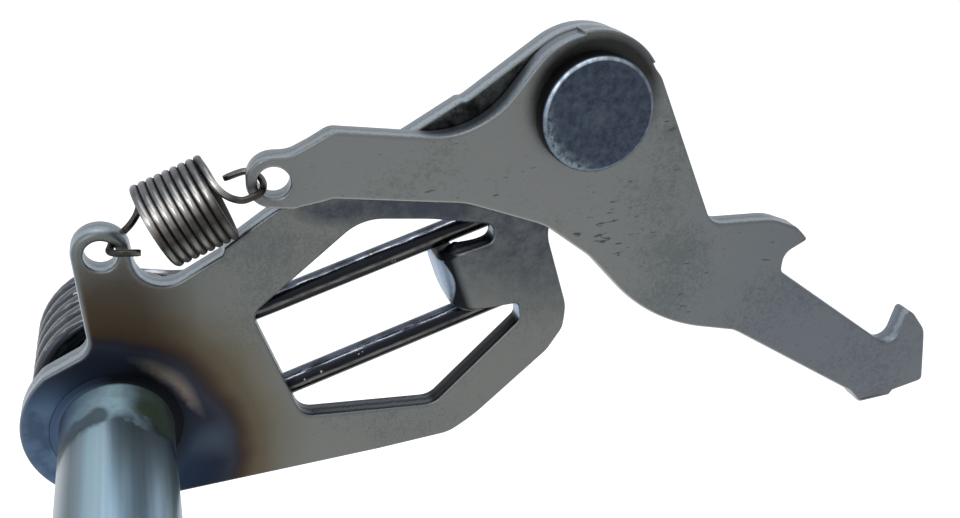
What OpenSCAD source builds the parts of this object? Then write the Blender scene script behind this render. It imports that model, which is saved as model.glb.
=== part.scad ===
// Gear-shift shaft assembly of a small motorcycle gearbox.
// A spindle carries a stamped shift plate. A clawed arm pivots on the plate against a small
// extension spring, and a torsion spring on the spindle straddles the plate's bent tab.
//
// Plates are drawn in their own flat frame: x right, y up, z towards the front, with the origin on
// the spindle's axis at the plate's front face. upright() turns that frame so that y stands up.
// Places along the bent tab are written as along(u, v): u away from the spindle, v across the tab.

/* [Spindle] */
// Diameter of the spindle's journals
spindle_d = 14; // [13:0.1:15]
// Length of the spindle in front of the plate
spindle_front = 112; // [80:1:140]
// Length of the spindle behind the plate's front face
spindle_rear = 35; // [34:0.5:40]
// Radial step of the seat that the plate is welded on
seat_step = 0.4; // [0.3:0.05:1]
// Chamfer at both ends of the spindle
end_chamfer = 1; // [0.5:0.1:1.5]
// Diameter over the tips of the pedal serration
serration_d = 13.6; // [13:0.1:13.8]
// Length of the pedal serration
serration_len = 18; // [12:1:24]
// Number of teeth in the pedal serration
serration_teeth = 36; // [24:1:48]
// Depth of the serration's teeth
serration_depth = 0.6; // [0.4:0.05:0.8]
// Diameter of the pinch bolt that crosses the serration
pinch_bolt_d = 6; // [5:0.5:8]

/* [Shift plate] */
// Thickness of the plate
plate_t = 3; // [2.5:0.1:3.5]
// Radius of the round lobe at the spindle
lobe_r = 11.4; // [10.8:0.1:12.5]
// Eye for the arm spring, place to the right of the spindle
eye_x = 1.7; // [1:0.1:2.5]
// Eye for the arm spring, place above the spindle
eye_y = 24.6; // [24:0.1:26]
// Diameter of the hole in the eye
eye_hole_d = 3.9; // [3:0.1:4.2]
// Width of the ring round that hole
eye_ring = 1.5; // [1.3:0.05:2]
// Pivot, place to the right of the spindle
pivot_x = 63.3; // [62:0.1:65]
// Pivot, place above the spindle
pivot_y = 37.7; // [37:0.1:39]
// Radius of the plate round the pivot
plate_head_r = 10.1; // [9:0.1:11]

/* [Bent tab] */
// Direction in which the tab lies from the spindle
tab_angle = 15.8; // [15:0.1:16.6]
// Distance from the spindle to the tab's near face
tab_u = 46.6; // [46:0.1:47.5]
// Width of the tab
tab_w = 9.4; // [8.8:0.1:9.8]
// Depth of the tab behind the plate's front face
tab_depth = 9; // [8:0.1:12]
// Inside radius of the tab's bend
tab_bend_r = 1.1; // [0.6:0.1:1.5]
// Radius of the tab's two free corners
tab_corner_r = 2; // [0.5:0.1:3]

/* [Shift arm] */
// Thickness of the arm
arm_t = 3; // [2.5:0.1:3.5]
// Gap between the arm and the plate
arm_gap = 0.25; // [0.2:0.05:0.4]
// Radius of the arm's head
arm_head_r = 9.9; // [9:0.1:10.6]
// Step of the raised sector on the head's rim
rim_step = 0.35; // [0.2:0.05:0.6]
// Radius of the arm's tail round its eye
tail_r = 3.3; // [3:0.1:3.6]
// Diameter of the hole in the tail
tail_hole_d = 4; // [3:0.1:4.2]
// Angle by which the tail is bent back
tail_bend = 5; // [3:0.5:5]

/* [Pivot rivet] */
// Diameter of the rivet's shank
rivet_d = 10; // [8:0.1:11]
// Diameter of the rivet's front head
rivet_head_d = 15.3; // [14:0.1:16]
// Height of the front head
rivet_head_h = 2.4; // [1.5:0.1:3]
// Chamfer of the front head's rim
rivet_chamfer = 0.7; // [0.4:0.1:1.2]
// Diameter of the formed head behind the plate
rivet_tail_d = 13.4; // [12.6:0.1:15]
// Height of the formed head behind the plate
rivet_tail_h = 1.6; // [1:0.1:2.2]
// Running clearance, radial, between the shank and the arm
pivot_clearance = 0.05; // [0.02:0.01:0.09]

/* [Return spring] */
// Diameter of the spring's wire
return_wire = 2.85; // [2.4:0.05:2.85]
// Mean diameter of the spring's turns
return_coil_d = 21.1; // [21:0.1:22]
// Distance from one turn to the next
return_pitch = 3.32; // [3.3:0.01:3.4]
// Number of full turns
return_turns = 4; // [3:1:4]
// Extra lead of the first turn, on its way back from the front leg
front_lead = 4.1; // [3:0.1:5]
// Distance by which the legs pull the turns off the spindle's axis
coil_shift = 1.3; // [1.1:0.05:1.35]
// Gap between a leg and the side of the tab
leg_clearance = 0.3; // [0.2:0.05:0.5]
// Length of the legs, from the spindle
leg_reach = 58; // [57:0.5:59]

/* [Arm spring] */
// Diameter of the spring's wire
arm_wire = 0.5; // [0.4:0.05:0.5]
// Mean diameter of the spring's turns
arm_coil_d = 10; // [9:0.1:10.2]
// Distance from one turn to the next
arm_pitch = 0.93; // [0.91:0.01:0.98]
// Number of full turns
arm_turns = 8; // [6:1:8]

/* [Washer and circlip] */
// Diameter of the thrust washer
washer_d = 20; // [19:0.5:22]
// Thickness of the thrust washer
washer_t = 1; // [0.8:0.1:1.2]
// Clearance, radial, between the washer and the spindle
washer_clearance = 0.1; // [0.05:0.05:0.2]
// Thickness of the circlip
circlip_t = 1; // [0.8:0.1:1.2]
// Width of the circlip's band
circlip_band = 2; // [1.6:0.1:2.4]
// Depth of the circlip's groove
groove_depth = 0.5; // [0.4:0.05:0.6]
// End clearance that pieces on the spindle keep from each other
end_clearance = 0.2; // [0.1:0.05:0.3]

/* [Hidden] */
$fn = 96;

spindle_r = spindle_d / 2;
seat_r = spindle_r + seat_step;
// the chamfer of the plate's bore leaves a groove of this depth round the spindle
seat_recess = 0.8;
weld_size = 1.2;
eye = [eye_x, eye_y];
eye_r = eye_hole_d / 2 + eye_ring;
pivot = [pivot_x, pivot_y];
tab_bend_outer = tab_bend_r + plate_t;
tab_root_u = 56;
// behind the plate, the leg's centre keeps this much from the plate's back face
leg_z = -plate_t - leg_clearance - return_wire / 2;
leg_v = tab_w / 2 + leg_clearance + return_wire / 2;
arm_front = arm_gap + arm_t;
// rings of a turn, and rings of the return spring from the front leg's bend to the rear leg's
coil_rings = 8;
coil_steps = coil_rings * return_turns + 5;
rear_z = leg_z - front_lead - return_pitch * (coil_steps + 1) / coil_rings;
// the washer lies behind the turns and the circlip behind the washer
washer_back = rear_z - return_wire / 2 - end_clearance - washer_t;
groove_z = washer_back - end_clearance / 2;

// ---- flat outlines ----

function unit(v) = v / norm(v);

// points of an arc of radius r round c
function arc(c, r, from, to, steps = 12) =
    [for (i = [0:steps]) let (a = from + (to - from) * i / steps) c + r * [cos(a), sin(a)]];

// half the angle at corner b between a and c
function half_angle(a, b, c) = acos(max(-1, min(1, unit(a - b) * unit(c - b)))) / 2;

// points of the fillet at corner b that starts at the distance t from it on both sides
function fillet(a, b, c, t) =
    let (
        u = unit(a - b),
        v = unit(c - b),
        half = half_angle(a, b, c),
        mid = b + unit(u + v) * t / cos(half),
        p = b + u * t - mid,
        q = b + v * t - mid,
        sweep = 180 - 2 * half,
        // at least a step every 12 degrees and every 2.4 mm
        steps = max(1, ceil(sweep / 12), ceil(norm(p) * sweep / 140))
    )
    [for (i = [0:steps]) let (k = i / steps)
        mid + (sin((1 - k) * sweep) * p + sin(k * sweep) * q) / sin(sweep)];

// an outline whose corners [x, y, radius] are rounded; a corner without a radius stays sharp,
// and two fillets that are too long for the side between them share it
function xy(p) = [p[0], p[1]];
function rounded(path) =
    let (
        n = len(path),
        at = [for (p = path) xy(p)],
        want = [for (i = [0:n - 1]) len(path[i]) < 3 ? 0
            : path[i][2] / tan(half_angle(at[(i + n - 1) % n], at[i], at[(i + 1) % n]))]
    )
    [for (i = [0:n - 1]) let (j = (i + n - 1) % n, k = (i + 1) % n)
        each (want[i] == 0
            ? [at[i]]
            : fillet(at[j], at[i], at[k], want[i] * min(1,
                0.98 * norm(at[i] - at[j]) / (want[i] + want[j]),
                0.98 * norm(at[k] - at[i]) / (want[i] + want[k]))))];

// the same corners, counted from the point c
function from(c, path) =
    [for (p = path) len(p) > 2 ? [c[0] + p[0], c[1] + p[1], p[2]] : [c[0] + p[0], c[1] + p[1]]];

// a place along the tab
function along(u, v) = [u * cos(tab_angle) - v * sin(tab_angle), u * sin(tab_angle) + v * cos(tab_angle)];

module upright() rotate([90, 0, 0]) children();

// a tube along the path p, as one closed skin of flat triangles
function side(i, p) = unit(p[min(i + 1, len(p) - 1)] - p[max(i - 1, 0)]);
// a frame that turns as little as it can from ring to ring
function frames(p) =
    [for (i = 0, t = side(0, p), n = unit(cross(t, unit([0.31, 0.17, 1])));
        i < len(p);
        i = i + 1,
        t = i < len(p) ? side(i, p) : t,
        n = unit(n - (n * t) * t)) [n, cross(t, n)]];
function ring_points(p, r, sides) =
    let (f = frames(p))
    [for (i = [0:len(p) - 1]) for (k = [0:sides - 1]) let (a = 360 * k / sides)
        p[i] + r * (cos(a) * f[i][0] + sin(a) * f[i][1])];
function tube_faces(rings, sides) = concat(
    [for (k = [1:sides - 2]) [0, k, k + 1]],
    [for (k = [1:sides - 2]) let (o = (rings - 1) * sides) [o, o + k + 1, o + k]],
    [for (i = [0:rings - 2]) for (k = [0:sides - 1])
        let (a = i * sides + k, b = i * sides + (k + 1) % sides) each [[a, a + sides, b], [b, a + sides, b + sides]]]);

module tube(path, d, sides = 6) {
    polyhedron(ring_points(path, d / 2, sides), tube_faces(len(path), sides));
}

// least distance from the skin of a tube to itself, between rings more than apart rings from each other
function self_gap(path, d, apart) =
    min([for (i = [0:len(path) - 1 - apart]) for (k = [i + apart:len(path) - 1]) norm(path[i] - path[k])]) - d;

// ---- spindle ----

serration_r = serration_d / 2;
serration_root = serration_r - serration_depth;
pinch_z = spindle_front - serration_len / 2;

// flat-flanked teeth round a circle, whose tips stand out past the spindle, which cuts them to lands
tooth_over = 0.2;
// the bolt's groove is this much deeper than the teeth
pinch_depth = 0.3;
function teeth(root, tip, count) =
    [for (i = [0:2 * count - 1]) let (a = 180 * i / count, r = i % 2 == 0 ? tip : root) r * [cos(a), sin(a)]];

module spindle() color("lightsteelblue") upright() difference() {
    union() {
        translate([0, 0, -spindle_rear]) cylinder(r1 = spindle_r - end_chamfer, r2 = spindle_r, h = end_chamfer);
        translate([0, 0, -spindle_rear + end_chamfer])
            cylinder(r = spindle_r, h = spindle_rear - end_chamfer + spindle_front - serration_len);
        translate([0, 0, spindle_front - serration_len]) cylinder(r = serration_r, h = serration_len - end_chamfer);
        translate([0, 0, spindle_front - end_chamfer])
            cylinder(r1 = serration_r, r2 = serration_r - end_chamfer, h = end_chamfer);
        translate([0, 0, -plate_t]) cylinder(r = seat_r, h = plate_t);
    }
    // serration for the pedal
    translate([0, 0, spindle_front - serration_len]) linear_extrude(serration_len + 1) difference() {
        circle(r = serration_r + 2 * tooth_over);
        polygon(teeth(serration_root, serration_r + tooth_over, serration_teeth));
    }
    // groove that the pedal's pinch bolt runs in
    translate([0, 0, pinch_z]) rotate_extrude()
        translate([serration_root - pinch_depth + pinch_bolt_d / 2, 0]) circle(d = pinch_bolt_d);
    // circlip groove
    translate([0, 0, groove_z - circlip_t]) difference() {
        cylinder(r = spindle_r + 1, h = circlip_t + end_clearance / 2);
        translate([0, 0, -1]) cylinder(r = spindle_r - groove_depth, h = circlip_t + 3);
    }
}

// ---- shift plate ----

// the lobe stands a little off the spindle's axis
lobe = [-0.2, 0.4];
plate_outline = rounded(concat(
    arc(eye, eye_r, 0, 180, 24),
    [[eye_x - eye_r + 0.1, lobe_r + 0.5, 2.5]],
    arc(lobe, lobe_r, 128, 230, 15),
    [[-2.5, -lobe_r - 0.7, 8],
     [34, -lobe_r + 0.35, 30],
     [44.6, -lobe_r + 0.95, 5],
     [48.3, -8.4, 20],
     [59.6, 0.75, 4],
     [61.95, 4.1, 3],
     [62.35, 7.6, 6],
     [59.3, 18.6, 6]],
    from(pivot, [[-4, -15.7, 5]]),
    arc(pivot, plate_head_r, -47, 123.5, 24),
    from(pivot, [[-15.1, 2.2], [-15.8, 1.8], [-16.5, 1.8], [-23.8, -2.1, 40]]),
    [[22.9, 27.9, 40],
     [16.2, 23.6],
     [15.8, 22.6],
     [eye_x + eye_r + 0.45, 17.45, 3.6]]));

window_outline = rounded(concat(
    [[18.5, 13.6, 2.2],
     [23.7, -3.2, 2.6],
     [42.3, -5.05, 3],
     [55.3, 6.55, 1.3],
     [55, 9.25, 0.7]],
    [along(50.3, -tab_w / 2)],
    [concat(along(54.8, tab_w / 2), [0.6])],
    [[51.3, 21.8, 1],
     [43, 23.8, 30],
     [33.5, 25.1, 2]]));

// side view of the tab: flat root, quarter bend and free end
tab_profile = concat(
    [[tab_root_u, 0], [tab_root_u, -plate_t]],
    arc([tab_u + tab_bend_outer, -tab_bend_outer], tab_bend_r, 90, 180, 6),
    [[tab_u + plate_t, -tab_depth], [tab_u, -tab_depth]],
    arc([tab_u + tab_bend_outer, -tab_bend_outer], tab_bend_outer, 180, 90, 12));

// end view of the tab, with its two free corners rounded
tab_end = rounded([
    [-tab_w / 2, 1],
    [-tab_w / 2, -tab_depth, tab_corner_r],
    [tab_w / 2, -tab_depth, tab_corner_r],
    [tab_w / 2, 1]]);

module bent_tab() rotate([0, 0, tab_angle]) intersection() {
    translate([0, tab_w / 2, 0]) rotate([90, 0, 0]) linear_extrude(tab_w) polygon(tab_profile);
    rotate([90, 0, 90]) linear_extrude(tab_root_u + 1) polygon(tab_end);
}

module shift_plate() color("gray") upright() {
    difference() {
        union() {
            translate([0, 0, -plate_t]) linear_extrude(plate_t) difference() {
                polygon(plate_outline);
                polygon(window_outline);
            }
            bent_tab();
        }
        // bore for the spindle's seat, chamfered in front and countersunk for the weld behind
        translate([0, 0, -plate_t - 1]) cylinder(r = seat_r, h = plate_t + 2);
        translate([0, 0, -seat_recess]) cylinder(r1 = seat_r, r2 = seat_r + seat_recess, h = seat_recess + 0.01);
        translate([0, 0, -plate_t - 0.01]) cylinder(r1 = seat_r + weld_size, r2 = seat_r, h = weld_size);
        translate([eye_x, eye_y, -plate_t - 1]) cylinder(d = eye_hole_d, h = plate_t + 2);
        translate([pivot_x, pivot_y, -plate_t - 1]) cylinder(d = rivet_d, h = plate_t + 2);
    }
}

// weld that fills the countersink behind the plate
module weld_ring() color("dimgray") upright() translate([0, 0, -plate_t]) difference() {
    cylinder(r1 = seat_r + weld_size, r2 = seat_r, h = weld_size);
    translate([0, 0, -1]) cylinder(r = seat_r, h = weld_size + 2);
}

// ---- shift arm, drawn from the pivot ----

tail_eye = [-40.7, -5.2];
rim_from = 98;
rim_to = 32;
bend_x = -34.8;
arm_outline = rounded(concat(
    arc(tail_eye, tail_r, 265, 90, 20),
    from(tail_eye, [[2, tail_r - 0.05, 4]]),
    [[-33.3, 0.6, 2.2],
     [-15, -2.5, 12]],
    arc([0, 0], arm_head_r, 139, rim_from, 4),
    arc([0, 0], arm_head_r + rim_step, rim_from, rim_to, 7),
    arc([0, 0], arm_head_r, rim_to, 28, 2),
    // beak
    [[(arm_head_r + 0.4) * cos(19.2), (arm_head_r + 0.4) * sin(19.2), 4],
     [19.35, -18.75, 3.2],
     [29.5, -19.4, 8],
     [33.8, -21.25, 3],
     [35.9, -23.5, 0.4],
     [32.2, -25.3, 2.2],
     [32.05, -28.25, 1.5],
     // hook
     [55.35, -46, 2],
     [57, -39.1, 0.6],
     [58.4, -39.9, 3],
     [61.2, -43.4, 4],
     [61.85, -46.8, 8],
     [63, -53.4, 0.8],
     [57.3, -54.4, 0.2],
     [56.8, -55.2, 0.5],
     [50.9, -55.4, 1.2],
     [48.6, -52.7],
     // underside
     [26.2, -37.7, 0.3],
     [25, -37, 0.3],
     [10.8, -33.05, 29],
     [0.8, -21, 10],
     [-5.9, -15.4, 10],
     [-16.8, -10.8, 12],
     [-33.7, -7.95, 0.6]],
    from(tail_eye, [[2, -tail_r - 0.3, 3]])));

module arm_blank() {
    difference() {
        linear_extrude(arm_t) polygon(arm_outline);
        translate([0, 0, -1]) cylinder(r = rivet_d / 2 + pivot_clearance, h = arm_t + 2);
        translate([tail_eye[0], tail_eye[1], -1]) cylinder(d = tail_hole_d, h = arm_t + 2);
    }
}

module shift_arm() color("darkgray") upright() translate([pivot_x, pivot_y, arm_gap]) {
    reach = 200;
    difference() {
        arm_blank();
        translate([bend_x - reach, -reach / 2, -1]) cube([reach, reach, arm_t + 2]);
    }
    // the tail turns back about a line on the front face
    translate([bend_x, 0, arm_t]) rotate([0, -tail_bend, 0]) translate([-bend_x, 0, -arm_t]) intersection() {
        arm_blank();
        translate([bend_x - reach, -reach / 2, -1]) cube([reach, reach, arm_t + 2]);
    }
}

// ---- pivot rivet ----

module pivot_rivet() color("slategray") upright() translate([pivot_x, pivot_y, 0]) {
    head_z = arm_front + pivot_clearance;
    translate([0, 0, -plate_t]) cylinder(d = rivet_d, h = plate_t + head_z);
    translate([0, 0, head_z]) cylinder(d = rivet_head_d, h = rivet_head_h - rivet_chamfer);
    translate([0, 0, head_z + rivet_head_h - rivet_chamfer])
        cylinder(d1 = rivet_head_d, d2 = rivet_head_d - 2 * rivet_chamfer, h = rivet_chamfer);
    translate([0, 0, -plate_t - rivet_tail_h])
        cylinder(d1 = rivet_tail_d - rivet_tail_h, d2 = rivet_tail_d, h = rivet_tail_h);
}

// ---- return spring ----

coil_start = -45;
coil_r = return_coil_d / 2;
// the extra lead is spread over this many rings
lead_rings = 5;
function ease(t) = t * t * (3 - 2 * t);
function placed(u, v, z) = concat(along(u, v), [z]);
return_path = concat(
    // front leg, which passes below the tab
    [for (u = [leg_reach, 44, 30, 17]) placed(u, -leg_v, leg_z)],
    [for (i = [0:coil_steps]) let (a = coil_start - 360 * i / coil_rings)
        placed(coil_shift + coil_r * cos(a), coil_r * sin(a),
            leg_z - return_pitch * i / coil_rings - front_lead * ease(min(1, i / lead_rings)))],
    // rear leg, cranked forward before it passes above the tab
    [placed(7.6, 7, rear_z),
     placed(13.6, 3.9, rear_z),
     placed(16.2, 3.7, rear_z),
     placed(17.2, 4, rear_z + 0.8),
     placed(17.7, 4.4, rear_z + 3),
     placed(18.2, 5.9, leg_z - 3),
     placed(18.7, 6.2, leg_z - 1),
     placed(19.7, leg_v, leg_z - 0.2)],
    [for (u = [21.5, 30, 44, leg_reach]) placed(u, leg_v, leg_z)]);

module return_spring() color("#2b2d33") upright() tube(return_path, return_wire);

// ---- arm spring ----

// the hooks run in the plane of the two eyes; the turns stand between them
tail_drop = -(tail_eye[0] - bend_x) * tan(tail_bend);
tail_place = pivot + tail_eye;
spring_from = [eye_x, eye_y, -plate_t / 2];
spring_to = [tail_place[0], tail_place[1], arm_gap + arm_t / 2 - tail_drop];
spring_dir = unit(spring_to - spring_from);
spring_len = norm(spring_to - spring_from);
// out of the two eyes' line, to the front
spring_out = unit([0, 0, 1] - spring_dir[2] * spring_dir);
spring_up = cross(spring_out, spring_dir);
arm_coil_r = arm_coil_d / 2;
arm_rings = 8;
arm_steps = arm_turns * arm_rings - 1;
// the turns stand halfway between the eyes
coil_from = 0.5 * (spring_len - arm_turns * arm_pitch);
// a place on the spring: s along the line of the eyes, up and out square to it
function spring_at(s, up, out) = spring_from + s * spring_dir + up * spring_up + out * spring_out;
arm_path = concat(
    // end in front of the plate, through the plate's eye, and round behind it to the turns
    [for (p = [[4.8, -1.2, 2.15], [3.3, -0.4, 2.35], [2.1, 0.1, 2.2], [1.5, 0.25, 1.5], [1.4, 0.1, 0],
               [1.5, 0.1, -1.5], [2, 0.15, -2.2], [2.9, 0.35, -2.3], [3.9, 0.95, -2],
               [5.4, 2.25, -1.2], [6.6, 3.6, -0.7]])
        spring_at(p[0], p[1], p[2])],
    [for (i = [0:arm_steps]) let (a = 90 + 360 * i / arm_rings)
        spring_at(coil_from + arm_pitch * i / arm_rings, arm_coil_r * sin(a), -arm_coil_r * cos(a))],
    // over the end of the turns, into the arm's eye from the front, and out behind it
    [for (p = [[7, 5, -1.6], [6.5, 5.3, -0.7], [6.2, 4.6, 0.1], [6.1, 3.6, 0.8], [5.5, 2, 2],
               [4.7, 0.95, 2.85], [3.5, 0.15, 3.2], [2.3, 0, 2.9], [1.5, 0, 2.15], [1.25, 0, 1.2],
               [1.3, 0.1, 0], [1.5, 0.35, -1.5], [2.1, 0.8, -2.2], [2.8, 1.3, -2.45],
               [5.1, 1.45, -2.65], [5.6, 1.45, -2.65]])
        spring_at(spring_len - p[0], p[1], p[2])]);

module arm_spring() color("dimgray") upright() tube(arm_path, arm_wire);

// ---- washer and circlip ----

module thrust_washer() color("silver") upright() translate([0, 0, washer_back]) difference() {
    cylinder(d = washer_d, h = washer_t);
    translate([0, 0, -1]) cylinder(r = spindle_r + washer_clearance, h = washer_t + 2);
}

// open ring with a lug at each end of its gap
module circlip() color("#3a3a3e") upright() translate([0, 0, groove_z - circlip_t]) difference() {
    inner = spindle_r - groove_depth;
    union() {
        cylinder(r = inner + circlip_band, h = circlip_t);
        for (s = [-1, 1]) rotate([0, 0, 90 + 20 * s]) translate([inner + circlip_band, 0, 0]) cylinder(d = 2.6, h = circlip_t);
    }
    translate([0, 0, -1]) cylinder(r = inner, h = circlip_t + 2);
    translate([-1.5, 0, -1]) cube([3, 2 * spindle_r, circlip_t + 2]);
    for (s = [-1, 1]) rotate([0, 0, 90 + 20 * s])
        translate([inner + circlip_band, 0, -1]) cylinder(d = 1.2, h = circlip_t + 2);
}

echo(return_spring_gap = self_gap(return_path, return_wire, 6));
echo(arm_spring_gap = self_gap(arm_path, arm_wire, 6));

spindle();
shift_plate();
weld_ring();
shift_arm();
pivot_rivet();
arm_spring();
return_spring();
thrust_washer();
circlip();
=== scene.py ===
import math

import bmesh
import bpy
import numpy as np
from mathutils import Matrix, Vector
from mathutils.geometry import tessellate_polygon


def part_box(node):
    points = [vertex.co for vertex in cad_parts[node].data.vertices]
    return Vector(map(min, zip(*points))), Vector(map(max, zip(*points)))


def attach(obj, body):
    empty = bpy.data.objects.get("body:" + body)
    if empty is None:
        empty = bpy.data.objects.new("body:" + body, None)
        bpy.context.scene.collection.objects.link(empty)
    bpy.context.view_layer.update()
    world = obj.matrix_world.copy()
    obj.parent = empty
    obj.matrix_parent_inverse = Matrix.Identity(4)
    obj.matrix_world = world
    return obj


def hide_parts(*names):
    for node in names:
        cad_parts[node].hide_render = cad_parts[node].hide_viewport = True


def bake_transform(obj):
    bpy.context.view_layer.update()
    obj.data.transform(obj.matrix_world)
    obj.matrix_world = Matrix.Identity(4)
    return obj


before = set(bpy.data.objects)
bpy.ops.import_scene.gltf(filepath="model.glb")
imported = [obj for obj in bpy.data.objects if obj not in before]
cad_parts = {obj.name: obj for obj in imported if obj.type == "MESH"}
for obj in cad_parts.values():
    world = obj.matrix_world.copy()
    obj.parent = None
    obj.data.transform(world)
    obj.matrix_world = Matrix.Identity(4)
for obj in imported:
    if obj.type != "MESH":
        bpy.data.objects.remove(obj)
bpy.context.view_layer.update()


# ---------------------------------------------------------------------------------------------
# Camera, table and light
# The part hangs level over a pale table, seen from the front, a little from the left and above.
# A big soft box overhead and smaller ones at the left and in front light it, and the room around
# it is white.

def linear(code):
    """The linear colour of an sRGB hex value."""
    part = [int(code[i:i + 2], 16) / 255 for i in (1, 3, 5)]
    return [c / 12.92 if c <= 0.04045 else ((c + 0.055) / 1.055) ** 2.4 for c in part] + [1.0]


def add(tree, kind, inputs=(), **settings):
    """Adds a shader node with its settings. Its inputs, by name or listed in the node's own order,
    are values, outputs, or nodes, which stand for their first output in use. A MapRange lists the
    value, the two ends that it comes from and the two that it goes to."""
    made = tree.nodes.new("ShaderNode" + kind)
    for name, value in settings.items():
        setattr(made, name, value)
    if isinstance(inputs, dict):
        inputs = [(made.inputs[name], value) for name, value in inputs.items()]
    else:
        inputs = list(zip((socket for socket in made.inputs if socket.enabled), inputs))
    for socket, value in inputs:
        if isinstance(value, bpy.types.Node):
            value = next(output for output in value.outputs if output.enabled)
        if isinstance(value, bpy.types.NodeSocket):
            tree.links.new(value, socket)
        else:
            socket.default_value = value
    return made


def seen_directly(tree):
    """1 for what the camera sees, straight or through a mirror or glass, and 0 for what is lit."""
    rays = add(tree, "LightPath")
    seen = add(tree, "Math", [rays.outputs["Is Camera Ray"], rays.outputs["Is Glossy Ray"]],
               operation="MAXIMUM")
    return add(tree, "Math", [seen, rays.outputs["Is Transmission Ray"]], operation="MAXIMUM")


def new_material(made_of, holder):
    """Gives an object an empty material, and returns its node tree."""
    made = bpy.data.materials.new(made_of)
    made.use_nodes = True
    made.node_tree.nodes.clear()
    holder.data.materials.clear()
    holder.data.materials.append(made)
    return made.node_tree


camera = bpy.data.objects.new("camera", bpy.data.cameras.new("camera"))
bpy.context.scene.collection.objects.link(camera)
look = Vector((0.27594, 0.85272, -0.44353)).normalized()
right = Vector((0.95143, -0.30788, 0.0)).normalized()
above = right.cross(look)
stand = (0.01125, -0.11765, 0.07831)
camera.matrix_world = Matrix([(right[i], above[i], -look[i], stand[i]) for i in range(3)]
                             + [(0, 0, 0, 1)])
camera.data.sensor_width = 36
camera.data.lens = 38.2
camera.data.clip_start = 0.01
camera.data.clip_end = 20
bpy.context.scene.camera = camera
bpy.context.scene.view_settings.view_transform = "Standard"

world = bpy.data.worlds.new("white_room")
bpy.context.scene.world = world
world.use_nodes = True
room = world.node_tree
room.nodes.clear()
soft_light = add(room, "Background", {"Color": linear("#eef2f6"), "Strength": 0.7})
white_wall = add(room, "Background", {"Color": (1, 1, 1, 1), "Strength": 1.0})
mixed = add(room, "MixShader", [seen_directly(room), soft_light, white_wall])
add(room, "OutputWorld", {"Surface": mixed})

# matt white laminate, lifted to white for what looks straight at it
table_z, half = -0.16, 4
corners = ((-half, -half), (half, -half), (half, half), (-half, half))
table_mesh = bpy.data.meshes.new("table")
table_mesh.from_pydata([(x, y, table_z) for x, y in corners], [], [(0, 1, 2, 3)])
table = bpy.data.objects.new("table", table_mesh)
bpy.context.scene.collection.objects.link(table)
tree = new_material("white_laminate", table)
matt = add(tree, "BsdfDiffuse", {"Color": linear("#f4f4f4")})
lift = add(tree, "Emission", {"Color": (1, 1, 1, 1), "Strength": 0.5})
lifted = add(tree, "AddShader", [matt, lift])
both = add(tree, "MixShader", [seen_directly(tree), matt, lifted])
add(tree, "OutputMaterial", {"Surface": both})


def soft_box(name, place, target, size, watts):
    """A square area lamp at place, turned to target."""
    lamp = bpy.data.lights.new(name, "AREA")
    lamp.shape = "SQUARE"
    lamp.size = size
    lamp.energy = watts
    holder = bpy.data.objects.new(name, lamp)
    bpy.context.scene.collection.objects.link(holder)
    holder.location = place
    holder.rotation_euler = (Vector(target) - Vector(place)).to_track_quat("-Z", "Y").to_euler()


middle = (0.05, 0, 0.01)
soft_box("overhead_box", (0.0, -0.10, 0.60), middle, 0.5, 1.5)
soft_box("left_box", (-0.55, -0.25, 0.25), middle, 0.3, 0.4)
soft_box("front_box", (-0.31, -0.58, 0.39), middle, 0.10, 1.1)


# ---------------------------------------------------------------------------------------------
# Spindle
# A round bar of bright-drawn carbon steel, ground on its journals, with a rolled serration and a
# pinch-bolt groove at the pedal end and a circlip groove at the short end.

MM = 0.001


def piece(name, points, faces, sharp=38):
    """A mesh object, shaded smooth but for edges sharper than the angle sharp."""
    mesh = bpy.data.meshes.new(name)
    mesh.from_pydata([tuple(p) for p in points], [], [tuple(f) for f in faces])
    work = bmesh.new()
    work.from_mesh(mesh)
    bmesh.ops.remove_doubles(work, verts=work.verts, dist=1e-7)
    bmesh.ops.dissolve_degenerate(work, edges=work.edges, dist=1e-8)
    bmesh.ops.recalc_face_normals(work, faces=work.faces)
    work.to_mesh(mesh)
    work.free()
    mesh.shade_smooth()
    mesh.set_sharp_from_angle(angle=math.radians(sharp))
    made = bpy.data.objects.new(name, mesh)
    bpy.context.scene.collection.objects.link(made)
    return made


def band(a, b, n):
    """The faces between two rings of n points that start at point a and at point b."""
    return [(a + k, a + (k + 1) % n, b + (k + 1) % n, b + k) for k in range(n)]


def turned(profile, around, radius=None):
    """Points and faces of a bar turned about the spindle's axis, from profile places (y, r) in mm.
    radius(angle, y, r) may cut the round away."""
    points, faces = [], []
    for y, r in profile:
        for k in range(around):
            a = 2 * math.pi * k / around
            s = radius(a, y, r) if radius else r
            points.append((s * math.cos(a) * MM, y * MM, s * math.sin(a) * MM))
    for i in range(len(profile) - 1):
        faces += band(i * around, (i + 1) * around, around)
    for end in (0, len(profile) - 1):
        centre, ring = len(points), end * around
        points.append((0, profile[end][0] * MM, 0))
        faces += [(centre, ring + k, ring + (k + 1) % around) for k in range(around)]
    return points, faces


journal_r = 7.0
seat_r = 7.4
front_end, rear_end = -112.0, 35.0
serration_start = front_end + 18
serration_r, serration_depth, teeth = 6.8, 0.6, 36
pinch_y, pinch_r = front_end + 9, 3.0
groove_from, groove_to, groove_r = 27.22, 28.32, 6.5


def serrated(angle, y, r):
    """Cuts the teeth: each tooth has a narrow land and straight flanks."""
    if y > serration_start or r < serration_r - serration_depth:
        return r
    turn = (angle * teeth / (2 * math.pi)) % 1
    flank = max(0.0, 1 - abs(turn - 0.5) / 0.36)
    return min(r, serration_r - serration_depth * min(1.0, flank * 1.15))


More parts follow.
